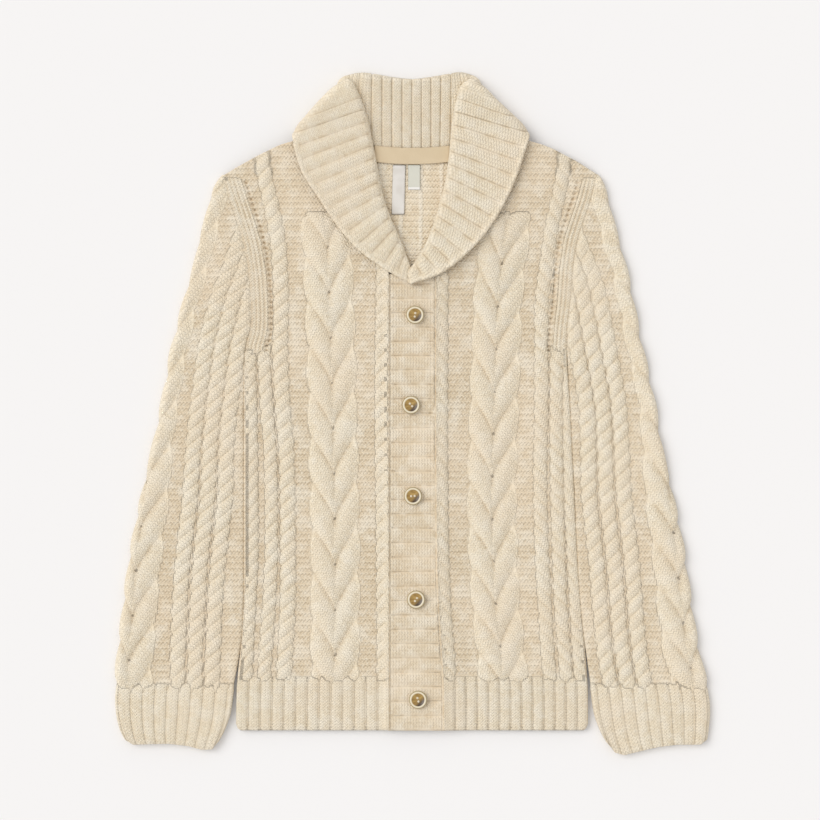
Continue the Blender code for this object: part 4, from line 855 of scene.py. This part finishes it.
def collar_surface(ribs_at, columns):
    """The strip's middle surface on a grid: rows by rib number, columns evenly from seam to free edge."""
    profiles = [(row[0], folded(*row[1:7], None, *row[7:])) for row in LAPEL_ROWS]
    profiles += [(row[0], folded(*row[1:7], row[7:10], *row[10:])) for row in SHOULDER_FOLD_ROWS]
    profiles += [(row[0], neck_profile(*row[1:])) for row in BACK_NECK_ROWS]
    profiles += list(PEAK_ROWS)
    places = np.empty((len(ribs_at), 10, 3))
    for column, axis in itertools.product(range(10), range(3)):
        table = [(rib, profile[column][axis]) for rib, profile in profiles]
        places[:, column, axis] = smooth(table, 1, ribs_at)
    surface = np.empty((len(ribs_at), columns, 3))
    for i, row in enumerate(places):
        way = np.concatenate([[0], np.cumsum(np.linalg.norm(np.diff(row, axis=0), axis=1) + 1e-6)])
        fine = np.linspace(0, way[-1], 4 * columns)
        curve = np.stack([smooth(list(zip(way, row[:, axis])), 1, fine) for axis in range(3)], -1)
        length = np.concatenate([[0], np.cumsum(np.linalg.norm(np.diff(curve, axis=0), axis=1))])
        even = np.linspace(0, length[-1], columns)
        for axis in range(3):
            surface[i, :, axis] = np.interp(even, length, curve[:, axis])
    return surface


def collar(name):
    """The collar's one ribbed strip, folded on its roll line and round the shoulders."""
    number = np.linspace(0, COLLAR_RIBS, COLLAR_RIBS * (16 if GRAIN < 2 else 10) + 1)
    surface = collar_surface(number, round(COLLAR_DEPTH / GRAIN))
    normal = np.cross(np.gradient(surface, axis=0), np.gradient(surface, axis=1))
    normal /= np.linalg.norm(normal, axis=-1, keepdims=True) + 1e-9
    down = np.linalg.norm(np.diff(surface, axis=1), axis=-1)
    along = np.concatenate([np.zeros((len(number), 1)), np.cumsum(down, axis=1)], 1)
    total = along[:, -1:]
    number = number[:, None]
    knit = Knit(along, number * COLLAR_RIB)
    level = ramp(0.15, 0.75, np.abs(normal[..., 2]))
    peak = np.exp(-(((number - 15.5) / 1.5) ** 2)) + np.exp(-(((number - 28.5) / 1.5) ** 2))
    lapel = np.clip(np.abs(number - COLLAR_RIBS / 2) - 9, 0, 1)
    to_edge = np.where(lapel > 0, ramp(1, 9, total - along), 1)
    soft = (0.12 + 0.88 * level) * (1 - 0.8 * np.clip(peak, 0, 1)) * to_edge
    sharp = 5.5 - 3.3 * lapel
    ribs(knit, number + 0 * along, COLLAR_RIB, along, COLLAR_RIB_HEIGHT, COLLAR_GROOVE, 1, sharp)
    knit.height = COLLAR_RIB_HEIGHT + (knit.height - COLLAR_RIB_HEIGHT) * soft
    knit.height = knit.height + 0.7 * lapel * np.exp(-(((total - along - 2.8) / 1.7) ** 2))
    ends = np.minimum(number, COLLAR_RIBS - number) * 12
    curve = edge_curve(np.minimum(np.minimum(along, total - along), ends), 2)
    wave = 0.35 * ripple(along, number * COLLAR_RIB, 26, 3)
    outside = surface + normal * ((COLLAR_WALL / 2 + knit.height + wave) * curve)[..., None]
    inside = surface - normal * ((COLLAR_WALL / 2 - 0.2) * curve)[..., None]
    for layer in (outside, inside):
        layer[..., 2] = np.maximum(layer[..., 2], 0)
    return two_faced(name, outside, inside, knit)


# Buttons, tape and labels


def lathe(name, profile, sides, centre, base):
    """A turned piece from (radius, height) pairs, on a point of the plan."""
    shape = bmesh.new()
    rings = []
    for radius, height in profile:
        count = 1 if radius == 0 else sides
        angles = [2 * math.pi * n / sides for n in range(count)]
        spots = [(radius * math.cos(a) * MM, radius * math.sin(a) * MM, height * MM) for a in angles]
        rings.append([shape.verts.new(spot) for spot in spots])
    for lower, upper in itertools.pairwise(rings):
        for n in range(sides):
            m = (n + 1) % sides
            corners = [lower[n % len(lower)], lower[m % len(lower)]]
            corners += [upper[m % len(upper)], upper[n % len(upper)]]
            shape.faces.new(list(dict.fromkeys(corners)))
    bmesh.ops.recalc_face_normals(shape, faces=shape.faces)
    mesh = bpy.data.meshes.new(name)
    shape.to_mesh(mesh)
    shape.free()
    mesh.shade_smooth()
    thing = add_object(name, mesh)
    thing.location = ((centre[0] + SHIFT_X) * MM, (centre[1] + SHIFT_Y) * MM, base * MM)
    return thing


BUTTON_SHAPE = (
    (0, 0), (6, 0), (8.2, 0.35), (9.1, 1.1), (9.5, 2.1), (9.35, 3), (8.8, 3.6), (8, 3.85),
    (7.2, 3.75), (6.4, 3.35), (5.6, 2.9), (4.6, 2.62), (3, 2.5), (0, 2.45),
)
THREAD_SHAPE = ((0, -0.6), (0.9, -0.5), (1.25, 0), (1.1, 0.5), (0.6, 0.8), (0, 0.85))


def button(n, centre):
    """A turned button with a dished middle and two raised stitches of thread on it."""
    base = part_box(f"button_{n}")[0].z / MM
    pieces = [lathe(f"horn_button_{n}", BUTTON_SHAPE, 72, centre, base)]
    turn = 0.5 + 0.9 * n
    for k in (-1, 1):
        spot = (centre[0] + 1.9 * k * math.cos(turn), centre[1] + 1.9 * k * math.sin(turn))
        pieces.append(lathe(f"button_thread_{n}_{'a' if k < 0 else 'b'}", THREAD_SHAPE, 16, spot, base + 2.5))
    return pieces


def woven(name, xs, low_y, high_y, base, thick, tilt, curl):
    """A thin woven strip between two curves, its edges rounded, with a slight curl."""
    rows = 33
    share = np.linspace(0, 1, rows)[:, None]
    x = xs[None, :] + np.zeros((rows, 1))
    y = low_y[None, :] + (high_y - low_y)[None, :] * share
    x = x + (y - high_y[None, :]) * math.tan(tilt)
    knit = Knit(x, y)
    away = np.minimum(np.minimum(x - x[:, :1], x[:, -1:] - x), np.minimum(y - y[:1], y[-1:] - y))
    curve = edge_curve(away, 0.5)
    bend = curl * ((1 - share) ** 3 + 0.25 * np.sin(share * 9 + x / 9))
    return slab(name, x, y, base + bend, thick, 0, curve, knit, 4)


# Materials

STITCH_MIDDLE = 0.5     # the stitches' height where one set of them meets another
INSIDE_COLUMN_PITCH = 21.5
INSIDE_COLUMN_X = 9.3

# painted highlight on the knit's crests
WOOL_PAINTED_HIGHLIGHT = (0.955, 0.848, 0.663, 1)
WOOL_FLAT = (0.932, 0.815, 0.618, 1)
# painted shade in the gaps between stitches
WOOL_PAINTED_GAP_SHADE = (0.480, 0.350, 0.210, 1)
# darker wool: painted shade in creases and on the purl ground, and random mottle and patches
WOOL_MOTTLE_AND_SHADE = (0.610, 0.470, 0.305, 1)
# painted shade in the deepest creases and gaps
WOOL_PAINTED_DEEP_SHADE = (0.300, 0.215, 0.125, 1)
# paler wool: painted highlight on the inside's columns, and random mottle and patches
WOOL_PALE_MOTTLE_AND_HIGHLIGHT = (0.975, 0.905, 0.770, 1)
WOOL_WARM = (0.920, 0.765, 0.575, 1)
WOOL_SHEEN = (1, 0.95, 0.86, 1)

HORN_BROWN = (0.30, 0.17, 0.035, 1)
HORN_AMBER = (0.52, 0.34, 0.10, 1)
HORN_PAINTED_SHADE = (0.065, 0.034, 0.012, 1)
HORN_HOLLOW = (0.30, 0.22, 0.13, 1)
HORN_RIM = (0.82, 0.73, 0.55, 1)
HORN_PAINTED_EDGE_SHADE = (0.38, 0.29, 0.14, 1)

THREAD_DEEP = (0.70, 0.60, 0.44, 1)
THREAD_PALE = (0.85, 0.77, 0.62, 1)
HEM_PALE = (0.93, 0.91, 0.88, 1)
FLOOR_WHITE = (0.912, 0.902, 0.902, 1)


class Tree:
    """Adds nodes to a material and links them as they are made."""

    def __init__(self, name):
        self.material = bpy.data.materials.new(name)
        self.material.use_nodes = True
        self.nodes = self.material.node_tree.nodes
        self.links = self.material.node_tree.links
        self.shader = self.nodes["Principled BSDF"]

    def put(self, socket, value):
        if isinstance(value, bpy.types.NodeSocket):
            self.links.new(value, socket)
        else:
            socket.default_value = value

    def node(self, kind, inputs=None, output=0, **settings):
        made = self.nodes.new(kind)
        for key, value in settings.items():
            setattr(made, key, value)
        for key, value in (inputs or {}).items():
            self.put(made.inputs[key], value)
        return made.outputs[output]

    def calc(self, operation, a, b=0):
        return self.node("ShaderNodeMath", {0: a, 1: b}, operation=operation)

    def plus(self, a, b):
        return self.calc("ADD", a, b)

    def minus(self, a, b):
        return self.calc("SUBTRACT", a, b)

    def times(self, a, b):
        return self.calc("MULTIPLY", a, b)

    def mix(self, share, a, b):
        made = self.nodes.new("ShaderNodeMix")
        made.data_type = "RGBA"
        for key, value in (("Factor", share), ("A", a), ("B", b)):
            self.put(made.inputs[key], value)
        return made.outputs["Result"]

    def spread(self, value, low, high, to_low=0, to_high=1):
        inputs = {0: value, 1: low, 2: high, 3: to_low, 4: to_high}
        return self.node("ShaderNodeMapRange", inputs, clamp=True)

    def tint(self, colour, other, value, low, high, share=1):
        """Turns a colour into another one, up to a share, where a value goes from low to high."""
        return self.mix(self.spread(value, low, high, 0, share), colour, other)

    def place(self):
        return self.node("ShaderNodeTexCoord", output=3)

    def noise(self, scale, detail=2, vector=None):
        inputs = {"Scale": scale, "Detail": detail, "Vector": vector or self.place()}
        return self.node("ShaderNodeTexNoise", inputs)

    def split(self, vector):
        """The X and Y of a vector."""
        parts = self.nodes.new("ShaderNodeSeparateXYZ")
        self.put(parts.inputs[0], vector)
        return parts.outputs[0], parts.outputs[1]

    def field(self, name):
        return self.node("ShaderNodeAttribute", output=2, attribute_name=name)

    def finish(self, colour, settings, bump=None):
        """Sets the shader's colour, its even settings and a bump of (strength, distance, height)."""
        self.put(self.shader.inputs["Base Color"], colour)
        for key, value in settings.items():
            self.shader.inputs[key].default_value = value
        if bump:
            inputs = dict(zip(("Strength", "Distance", "Height"), bump))
            self.put(self.shader.inputs["Normal"], self.node("ShaderNodeBump", inputs))
        return self.material


def stitch_height(tree):
    """The stitches' own relief: V's on the knit strands and wavy bumps on the purl ground."""
    u, v = tree.split(tree.node("ShaderNodeUVMap", uv_map="stitches"))
    turn = 2 * math.pi
    off_centre = tree.calc("ABSOLUTE", tree.minus(tree.calc("FRACT", u), 0.5))
    slanted = tree.minus(v, tree.times(off_centre, 1.15))
    legs = tree.spread(tree.calc("COSINE", tree.times(slanted, turn)), -1, 0.9)
    column = tree.spread(off_centre, 0.5, 0.36)
    middle = tree.spread(off_centre, 0, 0.09, 0.55, 1)
    knit = tree.times(tree.times(legs, column), middle)
    across = tree.calc("COSINE", tree.times(u, turn))
    wave = tree.times(across, 0.15)
    bumps = tree.calc("COSINE", tree.times(tree.plus(v, wave), turn))
    rows = tree.times(tree.spread(bumps, -0.8, 0.9), 0.5)
    staggered = tree.times(across, tree.calc("COSINE", tree.times(v, math.pi)))
    purl = tree.plus(rows, tree.spread(staggered, -0.7, 0.8, 0, 0.5))
    is_purl = tree.field("purl")
    is_knit = tree.times(tree.minus(1, is_purl), 0.7)
    both = tree.plus(tree.times(purl, is_purl), tree.times(knit, is_knit))
    off = tree.times(tree.minus(both, STITCH_MIDDLE), tree.field("clear"))
    return tree.plus(off, STITCH_MIDDLE), is_purl


def make_wool(inside=False):
    """Cream wool with painted shade in its creases, gaps and purl ground and a painted highlight on its
    crests; the knit's inside has thin light columns where the cables' stitches cross behind, painted paler as
    a painted highlight.
    """
    tree = Tree("cream_wool_inside" if inside else "cream_wool")
    stitches, is_purl = stitch_height(tree)
    level = tree.field("painted_light_level")
    fibres = tree.noise(1100, 3)
    mottle = tree.noise(300, 4)
    patches = tree.noise(70, 3)
    cloud = tree.noise(12, 2)
    # by the painted light level: painted highlight on crests, painted shade in creases, darkest in the
    # deepest ones
    colour = tree.tint(WOOL_FLAT, WOOL_PAINTED_HIGHLIGHT, level, 0.42, 0.80)
    colour = tree.tint(colour, WOOL_MOTTLE_AND_SHADE, level, 0.42, 0.08, 0.62)
    colour = tree.tint(colour, WOOL_PAINTED_DEEP_SHADE, level, 0.07, 0, 0.85)
    # painted shade in the gaps between stitches, stronger on the purl ground
    gaps = tree.times(tree.spread(stitches, 0.5, 0), tree.spread(mottle, 0.62, 0.42, 0.45, 1.15))
    strength = tree.spread(is_purl, 0, 1, 0.18, 0.80)
    colour = tree.mix(tree.times(gaps, strength), colour, WOOL_PAINTED_GAP_SHADE)
    # painted shade darkens the purl ground
    colour = tree.mix(tree.times(is_purl, 0.15 if inside else 0.4), colour, WOOL_MOTTLE_AND_SHADE)
    columns = 0
    if inside:
        wander = tree.times(tree.minus(patches, 0.5), 0.006)
        off = tree.minus(tree.plus(tree.split(tree.place())[0], wander), (INSIDE_COLUMN_X + SHIFT_X) * MM)
        wave = tree.calc("COSINE", tree.times(off, 2 * math.pi / (INSIDE_COLUMN_PITCH * MM)))
        columns = tree.spread(wave, 0.70, 0.98)
        # painted highlight along the raised columns
        colour = tree.mix(tree.times(columns, 0.7), colour, WOOL_PALE_MOTTLE_AND_HIGHLIGHT)
        colour = tree.tint(colour, WOOL_MOTTLE_AND_SHADE, patches, 0.5, 0.3, 0.15)
    colour = tree.tint(colour, WOOL_PALE_MOTTLE_AND_HIGHLIGHT, mottle, 0.5, 0.7, 0.35)
    colour = tree.tint(colour, WOOL_MOTTLE_AND_SHADE, mottle, 0.48, 0.3, 0.15)
    colour = tree.tint(colour, WOOL_PALE_MOTTLE_AND_HIGHLIGHT, patches, 0.45, 0.65, 0.5)
    colour = tree.tint(colour, WOOL_WARM, cloud, 0.4, 0.65, 0.35)
    fuzz = tree.plus(tree.times(stitches, 1.2), tree.times(fibres, 0.4))
    for layer, share in ((mottle, 0.6), (columns, 0.8), (patches, 2)):
        fuzz = tree.plus(fuzz, tree.times(layer, share))
    settings = {"Roughness": 0.95, "Specular IOR Level": 0.15, "Sheen Weight": 0.35, "Sheen Roughness": 0.6,
                "Sheen Tint": WOOL_SHEEN}
    return tree.finish(colour, settings, (0.9, 0.001, fuzz))


def make_horn():
    """Streaked brown horn with painted shade towards the lower right and a pale rim; the radius is measured
    in metres.
    """
    tree = Tree("polished_horn")
    where = tree.place()
    x, y = tree.split(where)
    radius = tree.node("ShaderNodeVectorMath", {0: where}, 1, operation="LENGTH")
    stretched = tree.node("ShaderNodeVectorMath", {0: where, 1: (1, 3.2, 1)}, operation="MULTIPLY")
    streaks = tree.noise(190, 4, stretched)
    colour = tree.tint(HORN_BROWN, HORN_AMBER, streaks, 0.35, 0.68)
    # painted shade: darker towards the lower right
    side = tree.plus(tree.minus(x, y), tree.times(streaks, 0.006))
    colour = tree.tint(colour, HORN_PAINTED_SHADE, side, 0.004, 0.010)
    colour = tree.tint(colour, HORN_HOLLOW, radius, 0.0032, 0.0018, 0.6)
    colour = tree.tint(colour, HORN_RIM, radius, 0.0074, 0.0080)
    # painted shade in a thin ring round the outer edge
    colour = tree.tint(colour, HORN_PAINTED_EDGE_SHADE, radius, 0.0090, 0.0096)
    settings = {"Roughness": 0.32, "Coat Weight": 0.35, "Coat Roughness": 0.2}
    return tree.finish(colour, settings, (0.15, 0.0003, streaks))


def make_weave(name, colour, dark, scale, slant, shine_and_fold_shade, pale_hem=None):
    """A fine woven cloth with slanting or straight ribs, painted shade of soft folds and, low down, a pale
    turned hem.
    """
    tree = Tree(name)
    x, y = tree.split(tree.place())
    diagonal = tree.plus(tree.times(x, scale), tree.times(y, scale * slant))
    lines = tree.spread(tree.calc("SINE", diagonal), -1, 1)
    threads = tree.spread(tree.calc("SINE", tree.times(y, scale * 2.6)), -1, 1)
    both = tree.times(lines, tree.plus(tree.times(threads, 0.4), 0.6))
    shown = tree.mix(tree.spread(both, 0, 0.8, 0.5, 0), colour, dark)
    shown = tree.tint(shown, dark, tree.noise(700, 3), 0.4, 0.7, 0.12)
    # painted shade of soft folds, as strong as the cloth's shine
    shown = tree.tint(shown, dark, tree.noise(75, 1), 0.4, 0.62, shine_and_fold_shade)
    if pale_hem:
        shown = tree.tint(shown, HEM_PALE, y, (pale_hem + 0.4) * MM, pale_hem * MM)
    settings = {"Roughness": 0.75 - 0.3 * shine_and_fold_shade, "Sheen Weight": 0.15}
    return tree.finish(shown, settings, (0.5, 0.0003, both))


def make_thread():
    tree = Tree("sewing_thread")
    return tree.finish(tree.mix(tree.noise(1500), THREAD_DEEP, THREAD_PALE), {"Roughness": 0.7})


def make_floor():
    return Tree("studio_floor").finish(FLOOR_WHITE, {"Roughness": 0.9, "Specular IOR Level": 0.1})


def dress(piece, material, node=None):
    """Gives a piece its material and its body, and hides the part of the node that it stands for."""
    piece.data.materials.append(material)
    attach(piece, "root")
    if node:
        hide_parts(node)


# The studio

FLOOR_REACH = 6         # metres
FLOOR_Z = -0.0005
SUN_STRENGTH = 1.37
SKY_STRENGTH = 0.695

PHOTO_SIDE_PX = 820
MM_PER_PX = 1.05
PHOTO_CENTRE_X = -2.1   # the photograph's middle in the garment's plan
PHOTO_CENTRE_Y = 3.7
LENS = 135
SENSOR = 36
CAMERA_RISE = 8         # the photograph's scale holds at this height above the floor


def make_floor_plane(material):
    mesh = bpy.data.meshes.new("studio_floor")
    corners = ((-1, -1), (1, -1), (1, 1), (-1, 1))
    mesh.from_pydata([(x * FLOOR_REACH, y * FLOOR_REACH, 0) for x, y in corners], [], [(0, 1, 2, 3)])
    mesh.materials.append(material)
    floor = add_object("studio_floor", mesh)
    floor.location.z = FLOOR_Z


def make_sun():
    """A wide soft light from the upper left."""
    light = bpy.data.lights.new("soft_key", "SUN")
    light.energy = SUN_STRENGTH
    light.angle = math.radians(45)
    light.color = (1, 0.985, 0.965)
    add_object("soft_key", light).rotation_euler = (math.radians(-14), math.radians(-40), 0)


def make_camera():
    camera = bpy.data.cameras.new("camera")
    camera.lens = LENS
    camera.sensor_width = SENSOR
    camera.clip_end = 50
    height = PHOTO_SIDE_PX * MM_PER_PX * LENS / SENSOR + CAMERA_RISE
    thing = add_object("camera", camera)
    thing.location = ((PHOTO_CENTRE_X + SHIFT_X) * MM, (PHOTO_CENTRE_Y + SHIFT_Y) * MM, height * MM)
    bpy.context.scene.camera = thing


def make_world():
    world = bpy.data.worlds.new("studio")
    world.use_nodes = True
    background = world.node_tree.nodes["Background"]
    background.inputs["Color"].default_value = (1, 0.995, 0.99, 1)
    background.inputs["Strength"].default_value = SKY_STRENGTH
    bpy.context.scene.world = world


# The pieces

TAPE_REACH = 40
TAPE_WIDTH = 17.5
TAPE_TOP_Y = 279
TAPE_RISE = 2.5         # how much higher its ends lie than its middle
TAPE_Z = 8.9
TAPE_THICK = 0.9
LABEL_TOP_Y = 261.2
LABEL_Z = 7.65
LABEL_THICK = 0.8
LABEL_COLUMNS = 17
SIZE_HEM_Y = 237.3      # below it the size label's end is turned back


def under_band_level(x, y):
    return lift(x, y) + WALL + LAYER_GAP


def top_band_level(x, y):
    return under_band_level(x, y) + BAND_LIFT


def line_at(x):
    return lambda y: x + 0 * y


def straight_label(name, low_x, high_x, low_y, tilt):
    xs = np.linspace(low_x, high_x, LABEL_COLUMNS)
    return woven(name, xs, low_y + 0 * xs, LABEL_TOP_Y + 0 * xs, LABEL_Z, LABEL_THICK, tilt, 0.3)


def make_woven():
    """The neck tape, whose edges curve with the back neck, and the two labels below it."""
    tape_cloth = make_weave("twill_tape", (0.78, 0.64, 0.44, 1), (0.62, 0.48, 0.30, 1), 6000, 1, 0.2)
    label_cloth = make_weave("white_satin", (0.87, 0.84, 0.80, 1), (0.68, 0.64, 0.58, 1), 9000, 0, 0.6)
    size_cloth = make_weave("grey_satin", (0.76, 0.75, 0.66, 1), (0.66, 0.65, 0.56, 1), 9000, 0, 0.3,
                            SIZE_HEM_Y + SHIFT_Y)
    xs = np.linspace(-TAPE_REACH, TAPE_REACH, 65)
    top = TAPE_TOP_Y + TAPE_RISE * (xs / TAPE_REACH) ** 2
    tape = woven("woven_neck_tape", xs, top - TAPE_WIDTH, top, TAPE_Z, TAPE_THICK, 0, 0.15)
    label = straight_label("woven_label", -20.2, -6.6, 208.8, 0.026)
    size_label = straight_label("woven_size_label", -4.2, 8.8, 234.8, 0)
    return (
        (tape, tape_cloth, "tape", "neck_tape", (0.08, 0.0175), None, ["knitted_back"]),
        (label, label_cloth, "label", "main_label", (0.0136, 0.052), None, ["knitted_back"]),
        (size_label, size_cloth, "size_label", "size_label", (0.013, 0.026), None, ["knitted_back"]),
    )


def make_knitted(wool):
    """Each knitted piece with what it is laid on; the order is from the back up."""
    on_back = ["knitted_back"]
    fronts = ["knitted_right_front", "knitted_left_front"]
    back_piece = back("knitted_back")
    right_front = front(fronts[0], -1)
    left_front = front(fronts[1], 1)
    under = band("knitted_under_band", under_band_level, line_at(-23.6), line_at(22), False)
    over = band("knitted_top_band", top_band_level, line_at(-25.2),
                lambda y: smooth(FRONT_ROWS, CENTRE_COLUMN[1], y) + 0.6, True)
    right_sleeve = sleeve("knitted_right_sleeve", -1)
    left_sleeve = sleeve("knitted_left_sleeve", 1)
    collar_piece = collar("knitted_collar")
    return (
        (back_piece, wool, "wool", "back_panel", (0.394, 0.642), 0.227, []),
        (right_front, wool, "wool", "right_front", (0.175, 0.642), 0.089, on_back),
        (left_front, wool, "wool", "left_front", (0.170, 0.642), 0.087, on_back),
        (under, wool, "wool", "under_band", (0.046, 0.472), None, on_back),
        (over, wool, "wool", "top_band", (0.052, 0.472), None, ["knitted_under_band"]),
        (right_sleeve, wool, "wool", "right_sleeve", (0.25, 0.60), 0.115, []),
        (left_sleeve, wool, "wool", "left_sleeve", (0.25, 0.60), 0.115, []),
        (collar_piece, wool, "wool", "collar", (0.13, 0.64), 0.06, fronts),
    )


def main():
    wool = make_wool()
    horn = make_horn()
    thread = make_thread()
    sheets = make_woven() + make_knitted(wool)
    for piece, material, slot, node, flat, area, rests_on in sheets:
        dress(piece, material, node)
    bpy.data.objects["knitted_back"].data.materials.append(make_wool(inside=True))
    for n, centre in enumerate(BUTTON_CENTRES, 1):
        disc, *threads = button(n, centre)
        dress(disc, horn, f"button_{n}")
        for piece in threads:
            dress(piece, thread)
    make_floor_plane(make_floor())
    make_world()
    make_sun()
    make_camera()
    bpy.context.scene.view_settings.view_transform = "Standard"


main()
